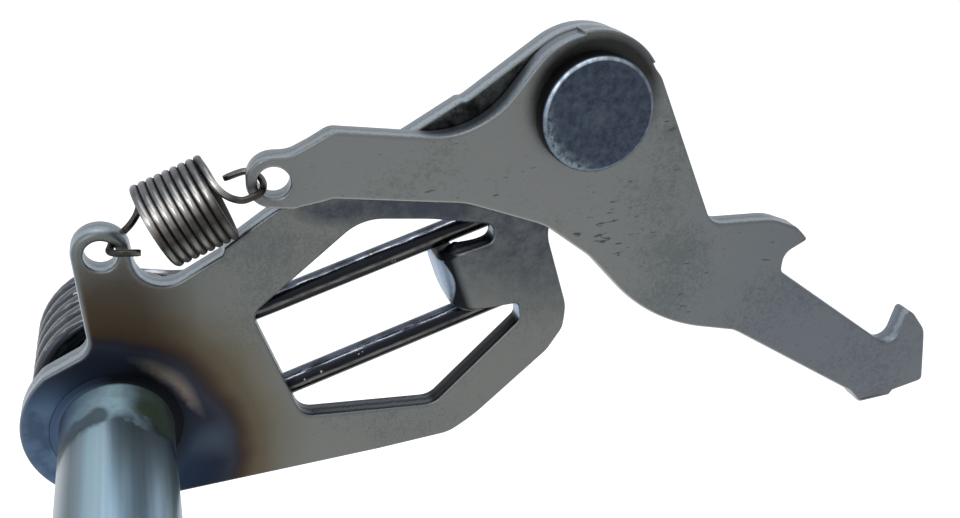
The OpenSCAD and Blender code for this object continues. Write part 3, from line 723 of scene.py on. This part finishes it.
def tinted_face(tree, in_mm):
    """Mill face with the heat colours of the weld: slate blue and dark blue near the spindle, a
    violet edge, brown, then straw that fades into the grey. Painted shade darkens the corner round
    the spindle, and a painted shadow of the arm darkens what the arm sweeps."""
    grey = mill_face(tree, in_mm, "#565959", "#636562")
    stir = add(tree, "TexNoise", {"Vector": in_mm, "Scale": 0.16, "Detail": 2.0, "Roughness": 0.4})
    shift = add(tree, "MapRange", [stir, 0.3, 0.7, -0.5, 0.5])
    flat_place = add(tree, "VectorMath", [in_mm, no_depth], operation="MULTIPLY")
    # the torch stood to the lower left of the spindle
    heat = add(tree, "VectorMath", [flat_place, (-4.8, 0, -5.3)], operation="DISTANCE")
    heat = add(tree, "Math", [heat, shift], operation="ADD")
    temper = colour_over(tree, heat, 40.0, [(d / 40, code) for d, code in (
        (10, "#485b70"), (13.5, "#37465a"), (16.0, "#2a303b"), (17.4, "#292b35"),
        (18.3, "#2a2d35"), (19.2, "#2a272c"), (20.0, "#352c26"), (22.0, "#4d463a"),
        (25.0, "#575246"), (30.0, "#5c5c56"))])
    # darker blue clouds within the blue, 4 mm across
    cloud = add(tree, "TexNoise", {"Vector": in_mm, "Scale": 0.28, "Detail": 3.0})
    cloud_mask = add(tree, "MapRange", [cloud, 0.45, 0.62, 0, 0.45])
    within = add(tree, "MapRange", [heat, 18.5, 16.5])
    # away from the round end it is darker, nearly black
    shade = patch(tree, flat_place, (-9.5, 0, -2.0), 6.0, 13.0, 0.72, shift)
    cloud_mask = add(tree, "Math", [cloud_mask, shade], operation="MAXIMUM")
    cloud_mask = add(tree, "Math", [cloud_mask, within], operation="MULTIPLY")
    tint = add(tree, "Mix", [cloud_mask, temper, linear("#1c1e28")], data_type="RGBA")
    # but for a slate patch halfway down that side and a blue-black one at the round end's foot
    for centre, none, full, most, code in (((11.6, 0, -4.3), 3.6, 0.8, 0.55, "#3a4552"),
                                           ((8.6, 0, -10.0), 5.4, 1.6, 0.7, "#152030")):
        mask = patch(tree, flat_place, centre, none, full, most, shift)
        tint = add(tree, "Mix", [mask, tint, linear(code)], data_type="RGBA")
    cool = add(tree, "MapRange", [heat, 23.0, 31.0])
    tint = add(tree, "Mix", [cool, tint, grey], data_type="RGBA")
    # deep brown where the neck of the spring's eye held the heat
    neck = patch(tree, flat_place, (2.0, 0, 16.0), 10.5, 4.0, 0.75, shift)
    beyond = add(tree, "MapRange", [heat, 19.4, 20.4])
    neck = add(tree, "Math", [neck, beyond], operation="MULTIPLY")
    tint = add(tree, "Mix", [neck, tint, linear("#3d3024")], data_type="RGBA")
    # painted shade, near black, in the corner round the spindle, weakest at its left
    corner = patch(tree, flat_place, (0, 0, 0), 10.4, 8.1, 0.85)
    painted_shade_to_right = add(tree, "SeparateXYZ", [in_mm])
    painted_shade_to_right = add(tree, "MapRange", [painted_shade_to_right.outputs["X"], -6.0, 1.0, 0.1])
    corner = add(tree, "Math", [corner, painted_shade_to_right], operation="MULTIPLY")
    tint = add(tree, "Mix", [corner, tint, linear("#141519")], data_type="RGBA")
    # pale crescent over the weld's root, at the upper right of the spindle
    ring = add(tree, "VectorMath", [flat_place, (0.6, 0, 0.2)], operation="DISTANCE")
    ring = add(tree, "Math", [shift, 0.5, ring], operation="MULTIPLY_ADD")
    near = add(tree, "MapRange", [ring, 7.7, 8.7])
    far = add(tree, "MapRange", [ring, 10.7, 9.2])
    side = add(tree, "VectorMath", [flat_place, (0.8, 0, 0.6)], operation="DOT_PRODUCT")
    spatter = add(tree, "TexNoise",
                  {"Vector": in_mm, "Scale": 0.9, "Detail": 4.0, "Roughness": 0.65})
    side = add(tree, "Math", [spatter, 1.6, side], operation="MULTIPLY_ADD")
    side = add(tree, "MapRange", [side, 8.9, 10.4, 0, 0.9])
    pale = add(tree, "Math", [near, far], operation="MULTIPLY")
    pale = add(tree, "Math", [pale, side], operation="MULTIPLY")
    tint = add(tree, "Mix", [pale, tint, linear("#67605a")], data_type="RGBA")
    # painted shadow of the arm on the front: thin under the arm's tail, wider by its head, and
    # thick in the gap above its neck, blotched 3 mm across
    blotched = add(tree, "TexNoise",
                   {"Vector": in_mm, "Scale": 0.4, "Detail": 5.0, "Roughness": 0.7})
    blotched = add(tree, "MapRange", [blotched, 0.38, 0.6, 0.55])
    deep = add(tree, "SeparateXYZ", [in_mm])
    deep = add(tree, "MapRange", [deep.outputs["Y"], 2.4, 1.0])
    blotched = add(tree, "Math", [blotched, deep], operation="MULTIPLY")
    for a, b, full, none, most, code in (
            ((29.0, 0, 28.8), (46, 0, 27.0), 2.6, 4.6, 0.9, "#32363f"),
            ((46, 0, 26.5), (60, 0, 20.5), 5.5, 16.0, 0.9, "#373b43"),
            ((43.0, 0, 37.2), (54.5, 0, 44.4), 2.6, 4.6, 0.95, "#0e0f11")):
        gap = line_distance(tree, flat_place, a, b)
        gap = add(tree, "Math", [gap, shift], operation="ADD")
        painted_arm_shadow = add(tree, "MapRange", [gap, none, full, 0, most])
        painted_arm_shadow = add(tree, "Math", [painted_arm_shadow, blotched], operation="MULTIPLY")
        tint = add(tree, "Mix", [painted_arm_shadow, tint, linear(code)], data_type="RGBA")
    return tint


# the blank's steel under its heat colours: a skin of oxide that keeps the satin of the metal
tree = new_material("blanked_steel_heat_tinted", plate)
# 3c3f42 is painted shade on the plate's rolled edges that face down
blanked_steel(tree, 0.0, linear("#3c3f42"), tinted_face, window_wall, bent_tab)
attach(plate, "spindle_assembly")
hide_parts("shift_plate")


# ---------------------------------------------------------------------------------------------
# Weld ring
# A single run of weld metal in the countersink behind the plate, laid by hand, so it shows the
# ripples of each dip. Scaled blue-black.

def ring_of(section, around, height=None):
    """Points and faces of a ring with a closed section of places (r, y) in mm. height(angle, y)
    may change y."""
    points, faces = [], []
    n = len(section)
    for k in range(around):
        a = 2 * math.pi * k / around
        for r, y in section:
            rise = height(a, y) if height else y
            points.append((r * math.cos(a) * MM, rise * MM, r * math.sin(a) * MM))
        faces += band(k * n, (k + 1) % around * n, n)
    return points, faces


weld_in, weld_out = 7.4, 8.7
ripples = 34
section = [(weld_in, 2.0), (weld_out - 0.2, plate_t), (weld_out - 0.1, plate_t + 0.1)]
section += [(weld_in + 0.62 + 0.68 * math.cos(a), plate_t + 0.05 + 0.3 * math.sin(a))
            for a in np.linspace(0, math.pi, 9)]
section += [(weld_in, plate_t)]


def rippled(angle, y):
    """Lifts what stands proud of the plate by more or less, for each dip of the rod."""
    wave = 1 + 0.28 * abs(math.sin(angle * ripples / 2)) - 0.14 + 0.1 * math.sin(3 * angle + 1)
    return min(y, plate_t) + max(0.0, y - plate_t) * wave


weld = piece("weld_run", *ring_of(section, ripples * 8, rippled), sharp=60)
# weld metal with its scale left on: blue-black and dull, with grey-brown spots of about 1 mm
tree = new_material("scaled_weld_metal", weld)
in_mm, _ = surface(tree)
scale_spots = add(tree, "TexNoise", {"Vector": in_mm, "Scale": 1.2, "Detail": 4.0})
ramp = colour_stops(add(tree, "ValToRGB", [scale_spots]), [(0.35, "#2a2c36"), (0.68, "#67625c")])
metal_surface(tree, ramp, 0.85, 0.5, scale_spots, 0.5)
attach(weld, "spindle_assembly")
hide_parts("weld_ring")


# ---------------------------------------------------------------------------------------------
# Return spring
# Torsion spring of 3.2 mm oil-tempered wire, coiled close round the spindle. The front leg runs
# below the tab, the rear leg is cranked forward and runs above it.

def curve_through(knots, step):
    """Points every step mm on a smooth curve through the knots."""
    knots = np.array(knots, float)
    padded = np.vstack([2 * knots[0] - knots[1], knots, 2 * knots[-1] - knots[-2]])
    out = []
    for i in range(len(knots) - 1):
        p0, p1, p2, p3 = padded[i:i + 4]
        t1 = max(np.linalg.norm(p1 - p0), 1e-6) ** 0.5
        t2 = t1 + max(np.linalg.norm(p2 - p1), 1e-6) ** 0.5
        t3 = t2 + max(np.linalg.norm(p3 - p2), 1e-6) ** 0.5
        count = max(1, int(np.linalg.norm(p2 - p1) / step))
        for k in range(count):
            t = t1 + (t2 - t1) * k / count
            a1 = p0 * (t1 - t) / t1 + p1 * t / t1
            a2 = p1 * (t2 - t) / (t2 - t1) + p2 * (t - t1) / (t2 - t1)
            a3 = p2 * (t3 - t) / (t3 - t2) + p3 * (t - t2) / (t3 - t2)
            b1 = a1 * (t2 - t) / t2 + a2 * t / t2
            b2 = a2 * (t3 - t) / (t3 - t1) + a3 * (t - t1) / (t3 - t1)
            out.append(b1 * (t2 - t) / (t2 - t1) + b2 * (t - t1) / (t2 - t1))
    out.append(knots[-1])
    return np.array(out)


def thinned(line, least):
    """The line without the points that lie within least mm of the last one kept."""
    keep = [0]
    for i in range(1, len(line)):
        if np.linalg.norm(line[i] - line[keep[-1]]) > least:
            keep.append(i)
    return line[keep]


def wire(line, d, sides, chamfer):
    """Points and faces of a wire along the line, in mm, with cut ends. Its diameter d is one
    number, or one for each point."""
    line = np.array(line)
    tangents = np.gradient(line, axis=0)
    tangents /= np.linalg.norm(tangents, axis=1)[:, None]
    lead = np.cross(tangents[0], (0.31, 1, 0.17))
    lead /= np.linalg.norm(lead)
    points, faces = [], []
    for i, (at, t, width) in enumerate(zip(line, tangents, np.broadcast_to(d, len(line)))):
        lead = lead - (lead @ t) * t
        lead /= np.linalg.norm(lead)
        side = np.cross(t, lead)
        r = width / 2
        if i in (0, len(line) - 1):
            r -= chamfer
            at = at + t * chamfer * (-1 if i == 0 else 1)
        for k in range(sides):
            a = 2 * math.pi * k / sides
            points.append((at + r * (math.cos(a) * lead + math.sin(a) * side)) * MM)
    for i in range(len(line) - 1):
        faces += band(i * sides, (i + 1) * sides, sides)
    faces += [tuple(range(sides)), tuple(range((len(line) - 1) * sides, len(line) * sides))]
    return points, faces


return_wire, return_r, return_pitch, return_chamfer = 3.2, 10.42, 3.32, 0.15
leg_z, leg_v, leg_end = -4.72, 6.5, 58.0 - return_chamfer
front_lead, turns_shift = 4.1, 1.35
# four turns and five eighths of one, over which the first turn drops back from the front leg
turn_steps = 48
part_turn = 5 * turn_steps // 8
swept = 4 * turn_steps + part_turn
leg_front = [beside_tab(u, -leg_v, leg_z) for u in (leg_end, 50, 40, 30, 22, 17)]
turns = []
for i in range(swept + 1):
    a = math.radians(-45 - 360 * i / turn_steps)
    lead = min(1.0, i / part_turn)
    z = leg_z - return_pitch * i / turn_steps - front_lead * lead * lead * (3 - 2 * lead)
    turns.append(beside_tab(turns_shift + return_r * math.cos(a), return_r * math.sin(a), z))
rear = leg_z - front_lead - return_pitch * (swept / turn_steps + 1 / 8)
leg_rear = [beside_tab(*p) for p in (
    (7.6, 7.1, rear), (11, 5.3, rear), (14.2, 4.1, rear), (16.4, 3.95, rear + 0.5),
    (17.5, 4.2, rear + 2.4), (17.9, 4.5, rear + 5), (18.2, 5.6, leg_z - 4),
    (18.9, 6.3, leg_z - 1.4), (20.6, 6.5, leg_z - 0.15), (23, leg_v, leg_z), (32, leg_v, leg_z),
    (44, leg_v, leg_z), (leg_end, leg_v, leg_z))]
start = curve_through(leg_front + turns[:2], 0.8)[:-1]
tail = curve_through(turns[-2:] + leg_rear, 0.7)[1:]
spring_line = thinned(np.vstack([start[:-1], np.array(turns[:-1]), tail]), 0.35)
return_spring = piece("return_spring_wire", *wire(spring_line, return_wire, 20, return_chamfer),
                      sharp=50)

# oil-tempered wire: black oxide with an oily gloss, painted highlight and reflection lines along
# it by the way its surface faces, and small nicks
tree = new_material("oil_tempered_wire", return_spring)
in_mm, normal = surface(tree)
# painted highlight and reflection lines follow the side of the wire that faces across the legs
painted_highlight_facing = add(tree, "VectorMath", [normal, tab_up], operation="DOT_PRODUCT")
drag = add(tree, "Mapping",
           {"Vector": in_mm, "Rotation": (0, tab_turn, 0), "Scale": (0.09, 1.3, 1.3)})
drag = add(tree, "TexNoise", {"Vector": drag, "Scale": 1.0, "Detail": 3.0})
wander = add(tree, "MapRange", [drag, 0.3, 0.7, -0.05, 0.05])
painted_highlight_facing = add(tree, "Math", [painted_highlight_facing, wander], operation="ADD")
painted_highlight_facing = add(tree, "Math", [painted_highlight_facing, 0.5, 0.5], operation="MULTIPLY_ADD")
lines = colour_stops(add(tree, "ValToRGB", [painted_highlight_facing]), [(0.25, "#141417"), (0.4, "#1f2023"),
    (0.47, "#5f5f5b"), (0.54, "#54544f"), (0.6, "#16181d"), (0.84, "#1b1e26"), (0.895, "#3c434f"),
    (0.92, "#dfe3e9"), (0.94, "#586170"), (1.0, "#4d5664")])
cloud = add(tree, "TexNoise", {"Vector": in_mm, "Scale": 0.4, "Detail": 4.0})
# how strongly the painted lines show, changing from place to place
worn = add(tree, "MapRange", [cloud, 0.35, 0.6, 0.25, 1.0])
black = add(tree, "Mix", [worn, linear("#1c1e23"), lines], data_type="RGBA")
# the crests of the turns are rubbed grey all over
flat_place = add(tree, "VectorMath", [in_mm, no_depth], operation="MULTIPLY")
turns_axis = (1.3, 0, 0.37)
crest = patch(tree, flat_place, turns_axis, 11.3, 11.95, 0.9)
off_legs = patch(tree, flat_place, turns_axis, 13.5, 12.6)
crest = add(tree, "Math", [crest, off_legs], operation="MULTIPLY")
colour = add(tree, "Mix", [crest, black, linear("#565a5f")], data_type="RGBA")
nick = add(tree, "TexNoise", {"Vector": in_mm, "Scale": 1.1, "Detail": 2.0})
nick_mask = add(tree, "MapRange", [nick, 0.72, 0.75])
colour = add(tree, "Mix", [nick_mask, colour, linear("#a8aaad")], data_type="RGBA")
rough = add(tree, "MapRange", [cloud, 0, 1, 0.18, 0.34])
metal_surface(tree, colour, 0.9, rough, nick, 0.15)
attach(return_spring, "spindle_assembly")
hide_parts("return_spring")


# ---------------------------------------------------------------------------------------------
# Thrust washer
# Punched from steel strip and tumbled. It lies loose on the spindle behind the spring, and the
# circlip keeps it there.

washer_in, washer_out, edge = 7.1, 10.0, 0.12
low, high = (c.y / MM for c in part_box("thrust_washer"))
section = [(washer_in, low + edge), (washer_in + edge, low), (washer_out - edge, low),
           (washer_out, low + edge), (washer_out, high - edge), (washer_out - edge, high),
           (washer_in + edge, high), (washer_in, high - edge)]
washer = piece("washer_ring", *ring_of(section, 128), sharp=30)
# tumbled steel: an even, soft light grey, mottled 0.7 mm across
tree = new_material("tumbled_washer_steel", washer)
in_mm, _ = surface(tree)
grain = add(tree, "TexNoise", {"Vector": in_mm, "Scale": 1.5, "Detail": 5.0})
ramp = colour_stops(add(tree, "ValToRGB", [grain]), [(0.3, "#7d7f7e"), (0.7, "#a3a5a4")])
metal_surface(tree, ramp, 1.0, 0.4, grain, 0.3)
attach(washer, "spindle_assembly")
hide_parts("thrust_washer")


# ---------------------------------------------------------------------------------------------
# Circlip
# A phosphated spring-steel ring with two pliers' holes, snapped into the spindle's groove. It
# keeps the washer and the spring on.

circlip_loops = flat(front_loops("circlip", 1))
low, high = (c.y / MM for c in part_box("circlip"))
circlip = piece("circlip_ring", *stamping(circlip_loops, -high, -low, 0.1, 0.06), sharp=50)
# phosphate on spring steel: a matt coat, nearly black, mottled 0.3 mm across
tree = new_material("phosphated_spring_steel", circlip)
in_mm, _ = surface(tree)
grain = add(tree, "TexNoise", {"Vector": in_mm, "Scale": 3.0, "Detail": 3.0})
ramp = colour_stops(add(tree, "ValToRGB", [grain]), [(0.3, "#26272a"), (0.75, "#3d3e42")])
metal_surface(tree, ramp, 0.6, 0.55)
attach(circlip, "spindle_assembly")
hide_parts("circlip")


# ---------------------------------------------------------------------------------------------
# Pivot rivet
# A turned shouldered rivet of case-hardened steel. Its shank carries the arm, its big front head
# keeps the arm on, and its tail is spun out behind the plate.

pivot = (63.3, 37.7)
arm_front = 3.25


def shifted(made, dx, dz):
    """Moves points that were turned about the spindle's axis to another axis."""
    points, faces = made
    return [(p[0] + dx * MM, p[1], p[2] + dz * MM) for p in points], faces


head_y = -arm_front - 0.05
head_top = head_y - 2.4
rivet_profile = (
    [(head_top + y, r) for y, r in (
        (0.02, 1.2), (0.03, 2.2), (0.02, 4.5), (0, 6.95), (0.03, 7.14), (0.1, 7.3), (0.22, 7.46),
        (0.4, 7.58), (0.6, 7.63), (0.85, 7.65))]
    + [(head_y - 0.2, 7.65), (head_y - 0.05, 7.6), (head_y, 7.5), (head_y, 5.0)]
    + [(plate_t, 5.0), (plate_t, 5.9), (3.15, 6.3), (3.5, 6.6), (3.9, 6.7), (4.3, 6.55),
       (4.55, 6.1), (4.6, 5.4), (4.45, 4.2), (4.35, 2.0)])
rivet = piece("rivet_turned", *shifted(turned(rivet_profile, 128), *pivot), sharp=40)
# steel hardened in its case and quenched in oil: a blue-black skin with blotches of about 1 mm,
# fairly matt, and bare where it has been rubbed
tree = new_material("case_hardened_steel", rivet)
in_mm, normal = surface(tree)
blotch = add(tree, "TexNoise", {"Vector": in_mm, "Scale": 0.9, "Detail": 6.0, "Roughness": 0.7})
ramp = colour_stops(add(tree, "ValToRGB", [blotch]), [(0.32, "#262a36"), (0.72, "#414b57")])
# the head's rounded rim is rubbed bare, with a painted highlight on it that is brightest at its
# upper left
tip = squarely(tree, normal)
rim_low = add(tree, "MapRange", [tip, 0.5, 0.8])
rim_high = add(tree, "MapRange", [tip, 0.99, 0.95])
rim = add(tree, "Math", [rim_low, rim_high], operation="MULTIPLY")
rubbed = add(tree, "MapRange", [blotch, 0.4, 0.6, 0.45])
rim = add(tree, "Math", [rim, rubbed], operation="MULTIPLY")
from_pivot = add(tree, "VectorMath", [in_mm, (pivot[0], 0, pivot[1])], operation="SUBTRACT")
upper = toward(tree, from_pivot, (-0.5, 0, 0.86), 2.0, 7.2)
rubbed_rim_and_highlight = add(tree, "Mix", [upper, linear("#626e7a"), linear("#b4c2d2")], data_type="RGBA")
# scuffs of a millimetre along the lower left of the face
flat_place = add(tree, "VectorMath", [from_pivot, no_depth], operation="MULTIPLY")
from_axis = add(tree, "VectorMath", [flat_place], operation="LENGTH")
edge = add(tree, "MapRange", [from_axis, 5.4, 7.0])
lower = toward(tree, from_pivot, (-0.8, 0, -0.6), 3.4, 6.4)
chips = add(tree, "TexNoise", {"Vector": in_mm, "Scale": 1.3, "Detail": 4.0, "Roughness": 0.65})
chips = add(tree, "MapRange", [chips, 0.42, 0.62])
scuff = add(tree, "Math", [edge, lower], operation="MULTIPLY")
scuff = add(tree, "Math", [scuff, chips], operation="MULTIPLY")
# a pale spot where the turning centre was
spot = add(tree, "MapRange", [from_axis, 1.5, 0.6, 0, 0.12])
scuff = add(tree, "Math", [scuff, spot], operation="MAXIMUM")
scuffed = add(tree, "Mix", [scuff, ramp, linear("#6f7b80")], data_type="RGBA")
# painted shade: the head's side walls, which face sideways, are nearly black
wall = add(tree, "MapRange", [tip, 0.6, 0.3])
dark = add(tree, "Mix", [wall, scuffed, linear("#15161b")], data_type="RGBA")
colour = add(tree, "Mix", [rim, dark, rubbed_rim_and_highlight], data_type="RGBA")
rough = add(tree, "MapRange", [rim, 0, 1, 0.46, 0.32])
metal_surface(tree, colour, 0.95, rough, blotch, 0.35)
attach(rivet, "spindle_assembly")
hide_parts("pivot_rivet")


# ---------------------------------------------------------------------------------------------
# Shift arm
# Blanked from the same 3 mm steel, with its tail set back a few degrees and its claws left as
# punched. It turns on the rivet.

arm_back = 0.25
bend_x = pivot[0] - 34.8
bend_from, bend_run = bend_x + 0.8, 2.4
tail_turn = math.radians(5)
arm_loops = []
for loop in front_loops("shift_arm", 8):
    level = loop[:, :2].copy()
    bent = level[:, 0] < bend_x
    level[bent, 0] = bend_x - (bend_x - level[bent, 0]) / math.cos(tail_turn)
    arm_loops.append(eased(level))
arm = piece("arm_blank", *stamping(arm_loops, arm_back, arm_front, 0.45, 0.12), sharp=50)
work = bmesh.new()
work.from_mesh(arm.data)
for x in np.linspace(bend_from - bend_run, bend_from, 7):
    bmesh.ops.bisect_plane(work, geom=work.verts[:] + work.edges[:] + work.faces[:],
                           plane_co=(x * MM, 0, 0), plane_no=(1, 0, 0))
for vertex in work.verts:
    past = bend_from * MM - vertex.co.x
    if past <= 0:
        continue
    # the bend grows over its run and then goes on straight, about a line on the front face
    width = bend_run * MM
    turn = tail_turn * min(1.0, past / width)
    arc = min(past, width)
    depth = vertex.co.y + arm_front * MM
    base = width / tail_turn
    x = bend_from * MM - base * math.sin(arc / base) - (past - arc) * math.cos(turn)
    y = -arm_front * MM + base * (1 - math.cos(arc / base)) + (past - arc) * math.sin(turn)
    vertex.co.x = x + depth * math.sin(turn)
    vertex.co.y = y + depth * math.cos(turn)
work.to_mesh(arm.data)
work.free()
arm.data.shade_smooth()
arm.data.set_sharp_from_angle(angle=math.radians(50))


def worn_face(tree, in_mm):
    """Mill face, bluer towards the claws, darker in a ring round the rivet's head, and with a few
    dark scratches below it."""
    warm = mill_face(tree, in_mm, "#5a5e5c", "#686a69")
    cool = mill_face(tree, in_mm, "#51565b", "#5b6065")
    far = patch(tree, in_mm, (45, -3, 32), 22.0, 62.0)
    grey = add(tree, "Mix", [far, warm, cool], data_type="RGBA")
    # scratches 0.3 mm wide and 1 to 2 mm long, close together below the rivet
    slant = add(tree, "Mapping",
                {"Vector": in_mm, "Rotation": (0, 0.7, 0), "Scale": (0.45, 1.0, 1.9)})
    streak = add(tree, "TexNoise",
                 {"Vector": slant, "Scale": 1.0, "Detail": 3.0, "Roughness": 0.6})
    scuffed = patch(tree, in_mm, (66.5, -3.2, 20.5), 9.0, 1.0, 0.1)
    streak = add(tree, "Math", [streak, scuffed], operation="ADD")
    marks = add(tree, "MapRange", [streak, 0.68, 0.73, 0, 0.75])
    colour = add(tree, "Mix", [marks, grey, linear("#2b2c2f")], data_type="RGBA")
    # a dark ring round the rivet's head, heaviest above it
    ring = patch(tree, in_mm, (pivot[0] + 0.4, -3.25, pivot[1] + 0.7), 9.9, 8.3, 0.9)
    level = 0.1 * pivot[0] + pivot[1]
    high = toward(tree, in_mm, (0.1, 0, 1), level - 4, level + 5)
    ring = add(tree, "Math", [ring, high], operation="MULTIPLY")
    return add(tree, "Mix", [ring, colour, linear("#1b1a1b")], data_type="RGBA")


def dulled_wall(tree, in_mm, normal, depth):
    """As cut_wall, dulled by longer tumbling."""
    wall = cut_wall(tree, in_mm, normal, depth)
    return add(tree, "VectorMath", [wall, 0.8], operation="SCALE")


# the same steel bare: a satin grey that is lighter than the plate's, with a painted highlight on
# the rolled edges that face down
tree = new_material("blanked_steel_tumbled", arm)
blanked_steel(tree, arm_front, linear("#9a9a92"), worn_face, dulled_wall)
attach(arm, "arm")
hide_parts("shift_arm")


# ---------------------------------------------------------------------------------------------
# Arm spring
# Extension spring of 1 mm hard-drawn wire, wound with its turns touching. One hook goes through
# the plate's eye from behind, the other through the arm's eye from the front.

# the middles of the two eyes, halfway through the plate and through the arm's tail
eye = np.array((1.7, plate_t / 2, 24.6))
arm_eye = np.array((pivot[0] - 40.7, -(arm_back + plate_t / 2 - 5.9 * math.tan(tail_turn)),
                    pivot[1] - 5.2))
reach = np.linalg.norm(arm_eye - eye)
pull = (arm_eye - eye) / reach
outward = np.array((0, -1, 0)) - (np.array((0, -1, 0)) @ pull) * pull
outward /= np.linalg.norm(outward)
upward = np.cross(pull, outward)
if upward[2] < 0:
    upward = -upward


def on_spring(s, up, front):
    """A place s mm along the line of pull, up above it and front before it."""
    return eye + s * pull + up * upward + front * outward


arm_wire, arm_r, arm_pitch, arm_turns = 1.04, 5.04, 1.0, 8
# each hook's line from its own eye, as on_spring takes it
hook_in = [(4.8, -1.2, 2.15), (3.3, -0.4, 2.35), (2.1, 0.1, 2.2), (1.5, 0.25, 1.5), (1.4, 0.1, 0),
           (1.5, 0.1, -1.5), (2, 0.15, -2.2), (3.05, 0.35, -2.4), (4.26, 0.75, -3.0),
           (5.41, 1.5, -3.75)]
hook_out = [(6.23, 4.98, 1.3), (5.96, 4.08, 2.4), (5.72, 3.09, 3.0), (5.34, 2.13, 3.3),
            (4.68, 1.15, 3.4), (3.67, 0.38, 3.4), (2.49, 0.19, 3.2), (1.6, 0, 2.5), (1.2, 0, 1.5),
            (1.15, 0.1, 0), (1.5, 0.35, -1.5), (2.1, 0.8, -2.2), (2.8, 1.3, -2.45),
            (5.1, 1.45, -2.65), (5.6, 1.45, -2.65)]
# the hooks pull off its axis, so the coil bows: the first crest, how far the axis lies above the
# line of pull at each end and in front of it at the first, and how fast it falls back
crest, lift_first, lift_last = 7.62, 0.55, 0.34
lean_first, lean_slope, lean_grow = 0.7, 0.165, 0.002
coil = []
for turn in np.arange(-0.15, arm_turns - 0.02, 1 / 40):
    a = math.pi / 2 + 2 * math.pi * turn
    lift = lift_first + (lift_last - lift_first) * turn / arm_turns
    lean = lean_first - arm_pitch * turn * (lean_slope + lean_grow * turn)
    # the turns stand square to the leaning axis
    tip = -(lean_slope + 2 * lean_grow * turn) * arm_r * math.cos(a)
    coil.append(on_spring(crest + arm_pitch * turn + tip, lift + arm_r * math.sin(a),
                          lean - arm_r * math.cos(a)))
lead_in = curve_through([on_spring(*p) for p in hook_in] + coil[:2], 0.25)
lead_out = curve_through(coil[-2:] + [on_spring(reach - s, up, o) for s, up, o in hook_out], 0.25)
arm_line = thinned(np.vstack([lead_in[:-1], coil[1:-1], lead_out[1:]]), 0.12)
# the hooks were drawn out a little thinner than the coil
run = np.append(0, np.cumsum(np.linalg.norm(np.diff(arm_line, axis=0), axis=1)))
run_in, run_out = (np.linalg.norm(np.diff(part, axis=0), axis=1).sum()
                   for part in (lead_in, lead_out))
past_coil = np.maximum(run_in - run, run - run[-1] + run_out)
arm_widths = arm_wire - 0.16 * np.clip(past_coil / 4, 0, 1)
arm_spring = piece("arm_spring_wire", *wire(arm_line, arm_widths, 20, 0.06), sharp=50)

# hard-drawn wire: warm grey and drawn smooth; a painted reflection by height up the coil gives
# each turn a bright line and a dark band low on the front, and painted shade darkens it between
# the turns
tree = new_material("hard_drawn_wire", arm_spring)
in_mm, _ = surface(tree)
axis_from = on_spring(crest, lift_first, lean_first)
axis_to = on_spring(crest + arm_turns * arm_pitch, lift_last,
                    lean_first - arm_turns * arm_pitch * (lean_slope + arm_turns * lean_grow))
# how high up the coil a place lies, 0 to 1 over 12 mm
height = add(tree, "VectorMath", [in_mm, tuple(axis_from)], operation="SUBTRACT")
height = add(tree, "VectorMath", [height, tuple(upward)], operation="DOT_PRODUCT")
level = add(tree, "Math", [height, 1 / 12, 0.5], operation="MULTIPLY_ADD")
# painted reflection and highlight: the colour by height up the coil
ramp = colour_stops(add(tree, "ValToRGB", [level]), [(0.04, "#1c1a19"), (0.12, "#5b5955"),
    (0.22, "#74746d"), (0.32, "#65645f"), (0.44, "#383432"), (0.56, "#4a4643"), (0.64, "#7b7875"),
    (0.74, "#c3c1be"), (0.84, "#77787b"), (0.97, "#5f6268")])
cloud = add(tree, "TexNoise", {"Vector": in_mm, "Scale": 0.8, "Detail": 4.0})
wire_painted_reflection = toned(tree, ramp, cloud, 0.3, 0.7, 0.7, 1.1)
# painted shade in the grooves: dark where the wire is nearer the coil's axis than its crests, more
# so low down
to_axis = line_distance(tree, in_mm, axis_from - pull, axis_to + pull)
low = add(tree, "MapRange", [level, 0.8, 0.2, 0, 0.09])
to_axis = add(tree, "Math", [to_axis, low], operation="SUBTRACT")
groove = add(tree, "MapRange", [to_axis, 5.53, 5.36])
hooks = add(tree, "MapRange", [to_axis, 4.0, 4.5])
past_end = crest + arm_turns * arm_pitch + eye @ pull
along = toward(tree, in_mm, tuple(pull), past_end + 0.9, past_end + 0.1)
hooks = add(tree, "Math", [hooks, along], operation="MULTIPLY")
groove = add(tree, "Math", [groove, hooks], operation="MULTIPLY")
groove = add(tree, "Math", [groove, 0.93], operation="MULTIPLY")
colour = add(tree, "Mix", [groove, wire_painted_reflection, linear("#0d0c0b")], data_type="RGBA")
drawn = add(tree, "MapRange", [cloud, 0, 1, 0.2, 0.32])
rough = add(tree, "Math", [groove, 0.35, drawn], operation="MULTIPLY_ADD")
bare = add(tree, "MapRange", [groove, 0, 1, 1.0, 0.3])
metal_surface(tree, colour, bare, rough)
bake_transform(arm_spring)
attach(arm_spring, "spindle_assembly")
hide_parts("arm_spring")
